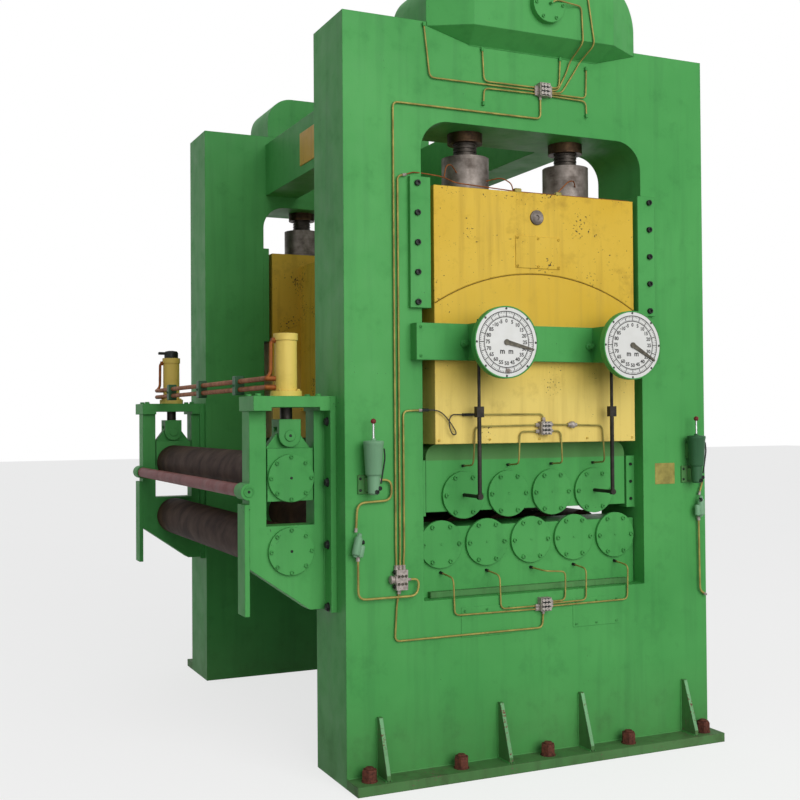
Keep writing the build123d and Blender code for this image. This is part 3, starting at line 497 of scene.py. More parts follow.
roll_pitch, lower_roll_z, upper_roll_z = 0.225, 0.967, 1.176
pinch_x, pinch_lower_z, pinch_upper_z = -1.095, 0.962, 1.266
lower_front, upper_front, pinch_front = [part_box(name)[0].y for name in ("lower_roll_covers", "upper_roll_covers",
                                                                        "pinch_lower_covers")]
lower_centres = [(step * roll_pitch, lower_front, lower_roll_z) for step in (-2, -1, 0, 1, 2)]
upper_centres = [(step * roll_pitch, upper_front, upper_roll_z) for step in (-1.5, -0.5, 0.5, 1.5)]
pinch_lower_centre = (pinch_x, pinch_front, pinch_lower_z)
pinch_upper_centre = (pinch_x, pinch_front, pinch_upper_z)


def cover_screws(name, centres, count, circle, radius, body):
    """The screws of a row of covers on both sides of the machine, with a pip at each cover's middle."""
    places = np.concatenate([circle_of(count, circle, centre) for centre in centres])
    pip = lathe([(0.005, 0), (0.005, 0.002), (0, 0.002)], 10)
    shapes = joined(on_both(cap_screw(radius), places), on_both(pip, centres))
    return piece(name, shapes, green, body)


cover_screws("lower_cover_screws", lower_centres, 6, 0.086, 0.0095, "frame")
cover_screws("upper_cover_screws", upper_centres, 6, 0.086, 0.0095, "rocker")
cover_screws("pinch_lower_cover_screws", [pinch_lower_centre], 8, 0.088, 0.0085, "frame")
cover_screws("pinch_upper_cover_screws", [pinch_upper_centre], 8, 0.088, 0.0085, "pinch_carriage")

# %% [markdown]
# ## Black screws and bolts
# The guides of the beam, the keepers of the chocks and the flange of the pinch stand are held by larger screws
# that were left black. A hex bolt is the same lathe with six sides.

# %% Guide, keeper and flange bolts
def hex_bolt(radius):
    """A washer of twice the shank under a six-sided head with its corners turned off."""
    washer = lathe([(1.25 * radius, 0), (1.25 * radius, 0.16 * radius), (0, 0.16 * radius)], 20)
    head = lathe([(radius, 0.1 * radius), (radius, 0.72 * radius), (0.86 * radius, 0.84 * radius),
                  (0, 0.84 * radius)], 6)
    return joined(washer, head)


guide_x, guide_front = 0.594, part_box("beam_guides")[0].y
keeper_x, keeper_front = 0.5425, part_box("chock_keepers")[0].y
guide_places = [(side * guide_x, guide_front, height) for side in (-1, 1) for height in np.linspace(2.000, 2.502, 5)]
keeper_places = [(side * keeper_x, keeper_front, height) for side in (-1, 1) for height in (1.13, 1.21, 1.29)]
piece("guide_screws", joined(on_both(cap_screw(0.013), guide_places), on_both(cap_screw(0.007), keeper_places)),
      black_steel, "frame")
flange_x = -0.945
flange_places = [(flange_x, -1.122, height) for height in (0.725, 0.985, 1.245, 1.500)]
piece("pinch_flange_bolts", on_both(hex_bolt(0.016), flange_places, "entry"), black_steel, "frame")
cap_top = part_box("pinch_caps")[1].z
cap_places = [(across, depth, cap_top) for across in (-1.245, -0.985) for depth in (-1.12, -0.99)]
piece("pinch_cap_bolts", on_both(hex_bolt(0.013), cap_places, "top"), green, "frame")

# %% [markdown]
# ## Anchors
# The foot plates stand on threaded anchors with heavy nuts that have rusted brown. The nut is six-sided, the
# stud is a rod with its thread drawn as rings.

# %% Anchor nuts
foot_top = 0.040
ridges = np.arange(14)
thread = np.stack([np.where(ridges % 2, 0.0185, 0.021), 0.036 + 0.0014 * ridges], -1)
stud = lathe([(0.021, 0), (0.021, 0.035), *thread.tolist(), (0.016, 0.058), (0, 0.058)], 16)
nut = lathe([(0.032, 0.004), (0.032, 0.045), (0.029, 0.050), (0.020, 0.050)], 6)
anchor_washer = lathe([(0.021, 0), (0.033, 0), (0.033, 0.004), (0.021, 0.004)], 24)
anchor_places = [(across, -1.315, foot_top) for across in (-0.845, -0.425, 0.0, 0.425, 0.845)]
piece("anchor_nuts", on_both(joined(stud, nut, anchor_washer), anchor_places, "top"), rust, "frame")

# %% [markdown]
# ## Dial faces
# Two gap dials show how far the screws have come down. Each is a white lacquered disc with printed rings, a
# hundred divisions and upright numbers. The print could be a picture, but thin raised ink keeps sharp in every
# view and needs no image: rings are flat lathes, ticks are thin plates turned by sine and cosine.

# %% Dial lacquer and ink
dial_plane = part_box("gauge_dials")[0].y + 0.003
dial_z = 1.8225
dial_centres = np.array([(across, dial_plane, dial_z) for across in (-0.2975, 0.3325)])


def lacquer():
    """White stove lacquer: even, glossy, with faint yellow clouds 40 mm wide. A rust mark spoils one spot."""
    material, tree, shader, place, tone = clouded("white_dial_lacquer", 0.04, 4.0, "#e0e0de", "#d2d2cd", 0.3)
    # The mark is 30 mm wide at the foot of the left dial, with a rim broken up by 8 mm noise.
    away = add(tree, "ShaderNodeVectorMath", {"operation": "DISTANCE"}, s0=place, s1=(-0.292, dial_plane, 1.703))
    reach = maths(tree, "MULTIPLY_ADD", noise(tree, place, 0.008, 3.0), 0.030, away.outputs["Value"])
    spoiled = mixed(tree, ramp(tree, reach, 0.032, 0.022, top=0.9), tone, "#6e5a4a")
    tree.links.new(spoiled, shader.inputs["Base Color"])
    return material


white_lacquer = lacquer()
# Matt black ink, a little greyer where it is worn, in 6 mm spots.
black_ink = clouded("black_dial_ink", 0.006, 2.0, "#1c1c1c", "#34332f", 0.6)[0]
face = lathe([(0.1445, 0), (0.1445, 0.0008), (0, 0.0008)], 72)
piece("dial_faces", set_on(face, dial_centres), white_lacquer, "frame")

# %% Dial rings, ticks and dots
def spokes(count, inner, outer, width):
    """Thin plates from one radius to another: each corner is r (sin a, cos a) moved half a width sideways."""
    angle = np.arange(count) * 2 * math.pi / count
    out = np.stack([np.sin(angle), np.cos(angle)], -1)[:, None, :]
    side = np.stack([np.cos(angle), -np.sin(angle)], -1)[:, None, :]
    reach = np.array([inner, outer, outer, inner])[None, :, None]
    half_width = np.array([-1, -1, 1, 1])[None, :, None] * width / 2
    flat = reach * out + half_width * side
    top = np.concatenate([flat, np.full((count, 4, 1), 0.0012)], -1)
    return top.reshape(-1, 3), np.arange(count * 4).reshape(-1, 4)


def ring(inner, outer):
    """A flat printed ring just above the lacquer."""
    return lathe([(inner, 0.0007), (inner, 0.0012), (outer, 0.0012), (outer, 0.0007)], 72)


dot = lathe([(0.0052, 0.0005), (0.0052, 0.0013), (0, 0.0013)], 10)
dots = np.concatenate([circle_of(8, 0.1395, centre, math.pi / 2) for centre in dial_centres])
print_marks = joined(ring(0.1262, 0.1296), ring(0.1030, 0.1062), spokes(20, 0.1046, 0.1280, 0.0034),
                     spokes(100, 0.1046, 0.1110, 0.0018), spokes(100, 0.1190, 0.1280, 0.0020))
piece("dial_rings", joined(set_on(print_marks, dial_centres), set_on(dot, dots)), black_ink, "frame")

# %% [markdown]
# ## Numbers
# The numbers run clockwise by fives, from ten below zero to eighty-five, with the unit under the middle. Blender's
# built-in font makes them as curves. A curve is turned into a mesh once and read back as plain points, so it can be
# set on both dials like any other shape.

# %% Dial numbers
def read_curve(curve):
    """The points and triangles of a curve's mesh; the curve is removed."""
    holder = shown(curve.name, curve)
    bpy.context.view_layer.update()
    mesh = bpy.data.meshes.new_from_object(holder.evaluated_get(bpy.context.evaluated_depsgraph_get()))
    mesh.calc_loop_triangles()
    points = np.zeros(len(mesh.vertices) * 3)
    mesh.vertices.foreach_get("co", points)
    corners = np.zeros(len(mesh.loop_triangles) * 3, np.int32)
    mesh.loop_triangles.foreach_get("vertices", corners)
    bpy.data.objects.remove(holder)
    bpy.data.curves.remove(curve)
    bpy.data.meshes.remove(mesh)
    return points.reshape(-1, 3), corners.reshape(-1, 3)


def lettering(words, size, place):
    """The signs as triangles, centred on place = (across, up), a hair above the lacquer."""
    curve = bpy.data.curves.new("letters", "FONT")
    curve.body = words
    curve.size = size
    curve.align_x = "CENTER"
    curve.align_y = "CENTER"
    curve.extrude = 0.0003
    curve.offset = size * 0.032
    curve.resolution_u = 3
    points, corners = read_curve(curve)
    return points + (*place, 0.0010), corners


number_radius, number_size, unit_size = 0.0880, 0.0215, 0.031
steps = np.arange(-10, 90, 5)
turns = steps / 100 * 2 * math.pi
number_shapes = [lettering(str(step), number_size, (number_radius * math.sin(turn), number_radius * math.cos(turn)))
                 for step, turn in zip(steps, turns)]
number_shapes += [lettering("m", unit_size, (across, -0.038)) for across in (-0.020, 0.020)]
piece("dial_numbers", set_on(joined(*number_shapes), dial_centres), black_ink, "frame")

# %% [markdown]
# ## Oil pipes on the housing
# Thin brass tube carries oil from a hand pump through a filter to distributor blocks, and from each block to
# the bearings. A fitter bends it by hand, so every corner is a small soft arc. Points are given across and up, in
# millimetres; the tube lies its own clearance off the wall and dips into the window where it meets a chock.

# %% Pipe helpers
def on_wall(points, off, base=wall):
    """Points given as across and up in millimetres become places in metres, off the wall by that distance."""
    flat = np.array(points, float) / 1000
    return np.stack([flat[:, 0], np.full(len(flat), base - off), flat[:, 1]], -1)


def into(points, across, height, depth, off, base=wall):
    """The same, with one more point straight back at that depth behind the operator wall."""
    route = on_wall(points, off, base)
    return np.concatenate([route, [(across / 1000, depth, height / 1000)]])


def union_nut(end, towards, radius=0.0085, length=0.02):
    """A six-sided nut slipped over the pipe's end."""
    end, towards = np.array(end, float), np.array(towards, float)
    step = (towards - end) / np.linalg.norm(towards - end)
    return tube([end, end + step * length * 0.5, end + step * length], radius, 6)


def pipe_run(name, routes, radius, body, bend=0.024, end_metal=zinc):
    """All routes of one group as tubes with soft corners, and a union nut at both ends of each."""
    piece(name, joined(*[tube(rounded_path(route, bend), radius, 10) for route in routes]), brass, body)
    nuts = [union_nut(route[0], route[1]) for route in routes]
    ends = [union_nut(route[-1], route[-2], 0.0066, 0.017) for route in routes]
    piece(name + "_nuts", joined(*nuts), zinc, body)
    piece(name + "_ends", joined(*ends), end_metal, body)


# A pipe lies close to the wall, a little off it by the pumps, or far enough to cross another.
near_off, pump_off, far_off = 0.010, 0.016, 0.023

# %% Feed pipes from the side block
side_routes = [on_wall(points, near_off) for points in (
    [(-697, 880), (-697, 925), (-698, 962), (-698, 2838), (22, 2838), (22, 2939)],
    [(-680, 880), (-680, 925), (-679, 962), (-679, 2528), (-640, 2536)],
    [(-663, 880), (-663, 925), (-660, 962), (-660, 1542), (-572, 1545)],
    [(-683, 800), (-696, 735), (-705, 585), (8, 585), (14, 662)],
)]
pipe_run("feed_pipes", side_routes, 0.0042, "frame")
pump_routes = [on_wall(points, off) for points, off in (
    ([(-788, 1257), (-719, 1257), (-719, 1172), (-872, 1165), (-880, 1046)], pump_off),
    ([(-874, 948), (-874, 770), (-606, 770), (-598, 840), (-655, 840)], far_off),
    ([(868, 1250), (896, 1215), (872, 1140)], pump_off),
    ([(868, 1040), (872, 690), (908, 668)], pump_off),
)]
pipe_run("pump_pipes", pump_routes, 0.0049, "frame", 0.036)

# %% Pipes from the crown and sill blocks
over_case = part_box("gear_cases")[0].y - 0.008
cover_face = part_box("gear_case_covers")[0].y
apron_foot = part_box("gear_cases")[0].z
crown = apron_foot * 1000
to_cover = [(0.186, over_case, 3.170), (0.178, over_case, 3.330), (0.030, over_case - 0.034, 3.328),
            (0.004, cover_face - 0.012, 3.312), (0.002, cover_face, 3.311)]
to_top = [(0.246, over_case, 3.170), (0.225, over_case, 3.300), (0.205, over_case, 3.428)]
crown_routes = [
    on_wall([(12, 2962), (-525, 2960), (-535, 3050), (-552, 3192)], near_off),
    on_wall([(12, 2976), (-262, 2974), (-270, 3120)], near_off),
    on_wall([(12, 2948), (-262, 2944), (-266, 2868)], near_off),
    on_wall([(59, 2982), (120, 2986), (128, crown)], near_off),
    np.concatenate([on_wall([(59, 2972), (112, 2972), (160, 3060), (178, crown - 14)], near_off), to_cover]),
    np.concatenate([on_wall([(59, 2964), (130, 2962), (200, 3065), (228, crown - 14)], near_off), to_top]),
    on_wall([(59, 2956), (262, 2956), (266, 3100)], near_off),
    on_wall([(59, 2946), (262, 2942), (266, 2868)], near_off),
]
pipe_run("crown_pipes", crown_routes, 0.0036, "frame", 0.024, green)
sill_routes = [into(points, across, height, chock_wall, near_off) for points, across, height in (
    ([(-8, 682), (-200, 682), (-205, 828)], -225, 842),
    ([(-8, 668), (-425, 671), (-431, 830)], -450, 845),
    ([(40, 696), (128, 697), (130, 824), (26, 832)], 0, 842),
    ([(40, 688), (238, 690), (240, 830)], 225, 842),
    ([(40, 676), (462, 678), (466, 832)], 450, 845),
)]
pipe_run("sill_pipes", sill_routes, 0.0037, "frame", 0.024, black_steel)

# %% Pipes on the rocker
rocker_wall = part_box("rocker_blocks")[0].y
upper_chock_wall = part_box("upper_chocks")[0].y
rocker_routes = [on_wall([(18, 1491), (12, 1526), (-346, 1525)], near_off, rocker_wall)]
rocker_routes += [into(points, across, 1302, upper_chock_wall, near_off, rocker_wall) for points, across in (
    ([(-6, 1478), (-325, 1474), (-337, 1308)], -337),
    ([(-6, 1450), (-104, 1450), (-112, 1308)], -112),
    ([(42, 1452), (106, 1450), (112, 1308)], 112),
    ([(42, 1480), (326, 1473), (337, 1308)], 337),
)]
pipe_run("rocker_pipes", rocker_routes, 0.0037, "rocker", 0.024, black_steel)

# %% [markdown]
# ## A check valve and a hose
# One rocker pipe has a round check valve in it. Another takes its oil from the housing through a short black
# hose that hangs in a loop, because the rocker moves up and down and the housing doesn't. The hose is a smooth
# spline through a few given points; its skin is the tube again, carried along points read from the spline.

# %% Check valve and hose
valve = lathe([(0.006, -0.024), (0.009, -0.022), (0.009, -0.014), (0.0145, -0.009), (0.016, 0.0), (0.0145, 0.009),
               (0.009, 0.014), (0.009, 0.022), (0.006, 0.024)], 18)
piece("check_valve", set_on(valve, [(0.165, rocker_wall - near_off, 1.4773)], "exit"), zinc, "rocker")
# Black oil hose: matt, dusty grey in 15 mm patches.
rubber = clouded("black_oil_hose", 0.015, 3.0, "#121211", "#262422", 0.6)[0]


def smooth_line(points):
    """The points of a NURBS spline of order 3 that starts and ends on its first and last control point."""
    curve = bpy.data.curves.new("hose_line", "CURVE")
    curve.dimensions = "3D"
    curve.resolution_u = 8
    spline = curve.splines.new("NURBS")
    spline.points.add(len(points) - 1)
    spline.points.foreach_set("co", np.column_stack([points, np.ones(len(points))]).ravel())
    spline.order_u = 3
    spline.use_endpoint_u = True
    return read_curve(curve)[0]


hose_y = rocker_wall - 0.014
pipe_y = rocker_wall - near_off
hose_points = np.array([(-0.560, wall - near_off, 1.5455), (-0.530, hose_y, 1.547), (-0.492, hose_y, 1.538),
                        (-0.460, hose_y, 1.508), (-0.434, hose_y, 1.474), (-0.417, hose_y - 0.002, 1.443),
                        (-0.440, hose_y - 0.008, 1.438), (-0.456, hose_y - 0.010, 1.466),
                        (-0.459, hose_y - 0.009, 1.502), (-0.442, hose_y - 0.005, 1.526),
                        (-0.410, pipe_y, 1.5255), (-0.382, pipe_y, 1.525)])
hose_path = smooth_line(hose_points)
hose = piece("rocker_hose", tube(hose_path, 0.0026, 10), rubber, None)
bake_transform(hose)
ferrule = union_nut((-0.347, pipe_y, 1.525), (-0.40, pipe_y, 1.525), 0.007, 0.040)
piece("hose_ferrule", ferrule, black_steel, "rocker")
tail = union_nut((-0.574, wall - near_off, 1.545), (-0.50, wall - near_off, 1.546), 0.0075, 0.030)
piece("hose_tail", tail, black_steel, "frame")

# %% [markdown]
# ## Distributor blocks
# A distributor is a small zinc block that shares the oil out. The block by the pump has six adjusting screws and
# a flow sight on its left side. The three others have an oily black front with nine bright screws.

# %% Distributor screws
def block_screws(place, rows):
    """Places in three columns and the given rows on a block's front."""
    column, row = np.meshgrid([-0.0160, 0.0, 0.0160], rows)
    return np.stack([place[0] + column.ravel(), np.full(column.size, place[1]), place[2] + row.ravel()], -1)


block_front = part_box("lube_blocks")[0].y
rocker_block_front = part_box("rocker_lube_block")[0].y
side_screws = block_screws((-0.680, block_front, 0.840), [-0.016, 0.016])
piece("side_block_screws", set_on(cap_screw(0.0058), side_screws), hand_steel, "frame")
oily_front = plate(0.044, 0.054, 0.0012, 0.002, 0.0005)
nine_rows = [-0.0185, 0.0, 0.0185]
frame_blocks = [(0.035, block_front, 2.966), (0.016, block_front, 0.689)]
rocker_blocks = [(0.018, rocker_block_front, 1.464)]
for front_name, screw_name, blocks, body in (("block_fronts", "block_screws", frame_blocks, "frame"),
                                             ("rocker_block_front", "rocker_block_screws", rocker_blocks, "rocker")):
    screws = np.concatenate([block_screws(place, nine_rows) for place in blocks])
    piece(front_name, set_on(oily_front, blocks), black_steel, body)
    piece(screw_name, set_on(cap_screw(0.0068), screws), bright_zinc, body)
sight = lathe([(0.019, 0), (0.019, 0.005), (0.014, 0.007), (0.014, 0.015), (0.018, 0.017), (0.018, 0.022),
               (0.014, 0.025), (0.008, 0.025), (0, 0.023)], 20)
sight_x, sight_z = -0.706, 0.842
sight_bolts = [(sight_x, wall - 0.014, 0.872), (sight_x, wall - 0.014, 0.812)]
piece("flow_sight", set_on(sight, [(sight_x, wall - 0.021, sight_z)], "entry"), zinc, "frame")
piece("flow_sight_bolts", set_on(hex_bolt(0.008), sight_bolts, "entry"), black_steel, "frame")

# %% [markdown]
# ## Plates, plugs and small screws on the beams
# The upper block has a steel plug over a grease hole and a flat access plate that was painted with it. The
# rocker's lower edge shows five screw heads. A sole plate under the lower chocks stands out on the sill. Below
# the window two flush covers sit in the housing, and a bare brass plate marks its right jamb.

# %% Beam plug, plates and screws
beam_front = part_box("upper_blocks")[0].y
plug = lathe([(0.033, 0), (0.033, 0.007), (0.030, 0.010), (0.026, 0.010), (0.024, 0.0085), (0.011, 0.0085),
              (0.010, 0.0035), (0, 0.0035)], 32)
piece("beam_plug", set_on(plug, [(-0.005, beam_front, 2.395)]), turned_steel, "upper_beam")
access = plate(0.228, 0.142, 0.004, 0.003, 0.001)
access_screws = [(across, beam_front - 0.004, height) for across in (-0.105, 0.0, 0.105) for height in (2.178, 2.302)]
beam_small = cap_screw(0.0055)
piece("access_plate", joined(set_on(access, [(0.0, beam_front, 2.240)]), set_on(beam_small, access_screws)),
      yellow, "upper_beam")
rocker_screws = [(across, rocker_wall, 1.417) for across in (-0.495, -0.25, 0.0, 0.25, 0.495)]
piece("rocker_screws", on_both(beam_small, rocker_screws), pale_yellow, "rocker")
sole = plate(1.020, 0.026, 0.028, 0.002, 0.0015)
piece("chock_soles", on_both(sole, [(0.0, chock_wall, 0.7535)]), foot_green, "frame")
flush = plate(0.250, 0.130, 0.002, 0.004, 0.001)
flush_centres = (-0.265, 0.2975)
flush_screws = [(centre + across, wall - 0.002, height) for centre in flush_centres
                for across in (-0.108, 0.0, 0.108) for height in (0.585, 0.685)]
piece("flush_covers", joined(set_on(flush, [(centre, wall, 0.635) for centre in flush_centres]),
                             set_on(cap_screw(0.005), flush_screws)), green, "frame")
plain_brass = plate(0.112, 0.098, 0.0015, 0.003, 0.0008)
brass_x, brass_z = 0.6875, 1.245
rivets = [(brass_x + across, wall - 0.0015, brass_z + height) for across in (-0.050, 0.050)
          for height in (-0.043, 0.043)]
rivet = lathe([(0.0026, 0), (0.0022, 0.0014), (0, 0.002)], 10)
piece("bare_brass_plate", joined(set_on(plain_brass, [(brass_x, wall, brass_z)]), set_on(rivet, rivets)),
      brass, "frame")

# %% [markdown]
# ## Gauge bar screws and gear case screws
# The green bar that carries the dials is held by four small screws and has two pinch bolts that stop the rods.
# The round cover of the gear case has six screws.

# %% Bar and case screws
bar_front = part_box("gauge_bar")[0].y
bar_places = [(side * 0.600, bar_front, height) for side in (-1, 1) for height in (1.772, 1.893)]
pinch_places = [(-0.400, bar_front, 1.826), (0.230, bar_front, 1.826)]
clamp = joined(lathe([(0.016, 0), (0.016, 0.010), (0.010, 0.013), (0.010, 0.020)], 16),
               lathe([(0.013, 0.018), (0.013, 0.030), (0.011, 0.032), (0, 0.032)], 6))
case_screws = circle_of(6, 0.066, (0.0, cover_face, 3.310))
piece("bar_and_case_screws", joined(set_on(cap_screw(0.006), bar_places), set_on(clamp, pinch_places),
                                    on_both(cap_screw(0.0075), case_screws)),
      green, "frame")

# %% [markdown]
# ## Hand pumps
# A hand pump on each jamb pushes the oil: a tapered tin reservoir on a cast foot, a bright rod with a ball to
# pull, and a bracket bolted to the housing. The two pumps came from different batches, one grey-green and one
# dark. All of it turns on one upright axis, so the lathe makes it.

# %% Hand pumps
grey_green = enamel("grey_green_hammer_paint", "#6f9d78", "#7daa85", "#45664d", "#2a332c", 0.80, 0.35, 0.34)
pump_axis = wall - 0.056
pump_foot, bracket_z, strap_z, bracket_depth = 1.200, 1.240, 1.350, 0.010
ball_turn = np.linspace(-math.pi / 2, math.pi / 2, 9)
ball = lathe(np.stack([0.0115 * np.cos(ball_turn), 0.300 + 0.0115 * np.sin(ball_turn)], -1), 18)
pull_rod = lathe([(0.0046, 0.215), (0.0046, 0.292), (0, 0.292)], 12)
reservoir = lathe([(0, 0), (0.018, 0), (0.024, 0.006), (0.026, 0.077), (0.032, 0.081), (0.034, 0.086),
                   (0.0410, 0.205), (0.0425, 0.207), (0.0425, 0.217), (0.039, 0.220), (0.011, 0.222),
                   (0.009, 0.230), (0, 0.230)], 36)


def hand_pump(name, across, coat):
    """Reservoir in its coat, soiled bracket and strap, bright rod, red ball, black lever and knobs."""
    foot = [(across, pump_axis, pump_foot)]
    bracket = set_on(plate(0.080, 0.078, bracket_depth), [(across - 0.010, wall, bracket_z)])
    arm = set_on(plate(0.046, 0.056, 0.040), [(across, wall, bracket_z)])
    strap = set_on(plate(0.042, 0.070, 0.020), [(across, wall, strap_z)])
    shell = piece(name + "_shell", set_on(reservoir, foot, "top"), coat, "frame")
    piece(name + "_bracket", joined(bracket, arm, strap), foot_green, "frame")
    piece(name + "_rod", set_on(pull_rod, foot, "top"), chrome, "frame")
    piece(name + "_ball", set_on(ball, foot, "top"), red, "frame")
    bolts = [(across - 0.040, wall - bracket_depth, height) for height in (1.216, 1.264)]
    knobs = [(across + 0.004, pump_axis - 0.022, 1.212), (across + 0.020, pump_axis - 0.014, 1.226)]
    lever = tube(rounded_path([(across + 0.043, pump_axis - 0.010, 1.388), (across + 0.046, pump_axis - 0.012, 1.350),
                               (across + 0.026, pump_axis - 0.014, 1.244)], 0.02), 0.0034, 8)
    piece(name + "_knobs", joined(set_on(hex_bolt(0.0048), bolts), set_on(cap_screw(0.009), knobs), lever),
          black_steel, "frame")
    return shell


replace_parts(hand_pump("entry_pump", -0.816, grey_green), "lube_pumps")
hand_pump("exit_pump", 0.828, dark_green)

# %% [markdown]
# ## Oil filters
# Under each pump a small filter sits in the pipe. The left one leans in its pipe, so its profile is turned on
# the lathe and then leaned by a plain rotation of the points.

# %% Oil filters
def leaned(shape, degrees):
    """Every point turned about the y axis of its own frame by that angle."""
    points, faces = shape
    c, s = math.cos(math.radians(degrees)), math.sin(math.radians(degrees))
    return points @ np.array([[c, 0, -s], [0, 1, 0], [s, 0, c]]), faces


filter_axis = wall - 0.034
filter_body = lathe([(0, -0.052), (0.008, -0.052), (0.010, -0.044), (0.016, -0.041), (0.017, -0.034), (0.017, 0.022),
                     (0.014, 0.030), (0.010, 0.034), (0.009, 0.046), (0.0, 0.050)], 24)
filter_side = lathe([(0, -0.040), (0.012, -0.040), (0.013, -0.034), (0.013, 0.004), (0.009, 0.010), (0, 0.010)], 18)
filters = joined(set_on(leaned(filter_body, 13), [(-0.880, filter_axis, 0.997)], "top"),
                 set_on(leaned(filter_side, 13), [(-0.861, filter_axis, 0.985)], "top"),
                 set_on(filter_body, [(0.868, filter_axis, 1.090)], "top"),
                 set_on(filter_side, [(0.848, filter_axis, 1.086)], "top"))
filter_piece = piece("oil_filters", filters, grey_green, "frame")
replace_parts(filter_piece, "lube_filters")
filter_knobs = [(-0.862, filter_axis - 0.004, 1.006), (0.852, filter_axis - 0.014, 1.120)]
piece("filter_knobs", set_on(cap_screw(0.009), filter_knobs, "exit"), black_steel, "frame")

# %% [markdown]
# ## Pinch stand trim
# Copper pipes feed the two cylinders; at each cylinder a riser goes on to the upper port, and dark green clamps hold
# the pair of pipes together on the way. The cylinder's base flange has four bolts, the far cylinder wears a black
# end switch with a lever, and the lugs of the entry bar show the ring of its pin. Pins and covers have a centre
# hole that the lathe left, and a black dot over it is painted shade of the hole.

# %% Cylinder risers, clamps and bolts
bracket_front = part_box("entry_plates")[0].y
cylinder_low, cylinder_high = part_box("pinch_cylinders")
cylinder_y = 1.030
flange_top = cylinder_low.z + 0.024
riser = np.array([(across, -cylinder_y, height) for across, height in ((-1.180, 1.682), (-1.162, 1.706),
                                                                        (-1.160, 1.836), (-1.142, 1.842))])
risers = [tube(rounded_path(route, 0.02), 0.0078, 12) for route in (riser, both_sides(riser))]
ports = [union_nut(end, end - (0.02, 0, 0), 0.013, 0.016) for end in (riser[-1], both_sides(riser)[-1])]
piece("cylinder_risers", joined(*risers, *ports), copper, "frame")
clamp_places = np.array([(-1.180, depth, 1.6635) for depth in (-0.62, 0.02, 0.66)])
clamp_half = plate(0.050, 0.086, 0.022, 0.006, 0.003)
piece("pipe_clamps", joined(set_on(clamp_half, clamp_places, "entry"), set_on(clamp_half, clamp_places, "exit"),
                            set_on(cap_screw(0.006), clamp_places - (0.022, 0, 0), "entry")),
      dark_green, "frame")
bolt_circle = 0.0575
quarter = math.pi / 4 + np.arange(4) * math.pi / 2
flange_bolts = np.stack([pinch_x + bolt_circle * np.cos(quarter), -cylinder_y + bolt_circle * np.sin(quarter),
                         np.full(4, flange_top)], -1)
piece("cylinder_bolts", on_both(hex_bolt(0.0085), flange_bolts, "top"), pale_yellow, "frame")
switch_cap = lathe([(0.040, 0), (0.040, 0.030), (0.034, 0.040), (0.014, 0.044), (0, 0.044)], 20)
switch_lever = plate(0.024, 0.016, 0.085, 0.004, 0.003)
piece("end_switch", joined(set_on(switch_cap, [(pinch_x, cylinder_y, cylinder_high.z)], "top"),
                           set_on(switch_lever, [(-1.085, cylinder_y, cylinder_high.z + 0.028)], "entry")),
      black_steel, "frame")
pin_ring = lathe([(0.023, 0), (0.023, 0.003), (0.021, 0.004), (0.017, 0.004), (0.016, 0.002), (0.006, 0.002),
                  (0.005, -0.002), (0, -0.002)], 28)
bar_low, bar_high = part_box("entry_bar")
pin_centre = ((bar_low.x + bar_high.x) / 2, bracket_front, 1.213)
piece("entry_pin_rings", on_both(pin_ring, [pin_centre]), green, "frame")

# %% Painted shade of the centre holes
# Painted shade: a small black dome stands for the shade inside each centre hole.
centre_hole_shade = lathe([(0.006, 0), (0.006, 0.001), (0.004, 0.0028), (0, 0.0028)], 12)
clevis_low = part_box("pinch_clevises")[0]
clevis_centre = (pinch_x, clevis_low.y, clevis_low.z + 0.0475)
for name, places, body in (("fixed_centre_hole_shades", [pin_centre, pinch_lower_centre], "frame"),
                           ("lifted_centre_hole_shades", [clevis_centre, pinch_upper_centre], "pinch_carriage")):
    piece(name, on_both(centre_hole_shade, places), black_steel, body)

# %% [markdown]
# ## Copper line over the beam
# A thin copper line leaves the housing over the left guide, lies along the beam's top edge and loops up to both
# screw cups. Its first end is at the housing and the rest lies on the beam, but the piece is fixed to no body.

# %% Beam line
beam_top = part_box("upper_blocks")[1].z
edge = beam_front + 0.022
line_route = [(-0.640, wall - 0.010, 2.536), (-0.610, wall - 0.012, 2.548), (-0.550, edge, 2.552),
              (-0.455, edge, 2.545), (-0.400, edge, 2.524), (-0.090, edge, beam_top + 0.006),
              (0.140, edge, beam_top + 0.005), (0.505, edge, beam_top + 0.005)]
left_loop = [(-0.110, edge, beam_top + 0.006), (-0.112, edge + 0.01, 2.545), (-0.150, edge + 0.03, 2.572),
             (-0.205, -1.172, 2.560)]
right_loop = [(0.110, edge, beam_top + 0.006), (0.185, edge + 0.01, 2.578), (0.220, edge + 0.02, 2.585),
              (0.250, -1.189, 2.565)]
far_loop = [(-0.450, edge, 2.545), (-0.430, edge + 0.02, 2.600), (-0.390, edge + 0.05, 2.615),
            (-0.343, -1.154, 2.590)]
line = piece("beam_line", joined(*[tube(rounded_path(route, 0.03), 0.0027, 8)
                                   for route in (line_route, left_loop, right_loop, far_loop)]),
             copper, None)
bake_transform(line)
tees = joined(set_on(plate(0.034, 0.018, 0.018), [(-0.090, edge + 0.006, beam_top + 0.010)]),
              set_on(plate(0.030, 0.016, 0.018), [(0.120, edge + 0.006, beam_top + 0.009)]))
piece("beam_line_tees", tees, brass, "upper_beam")
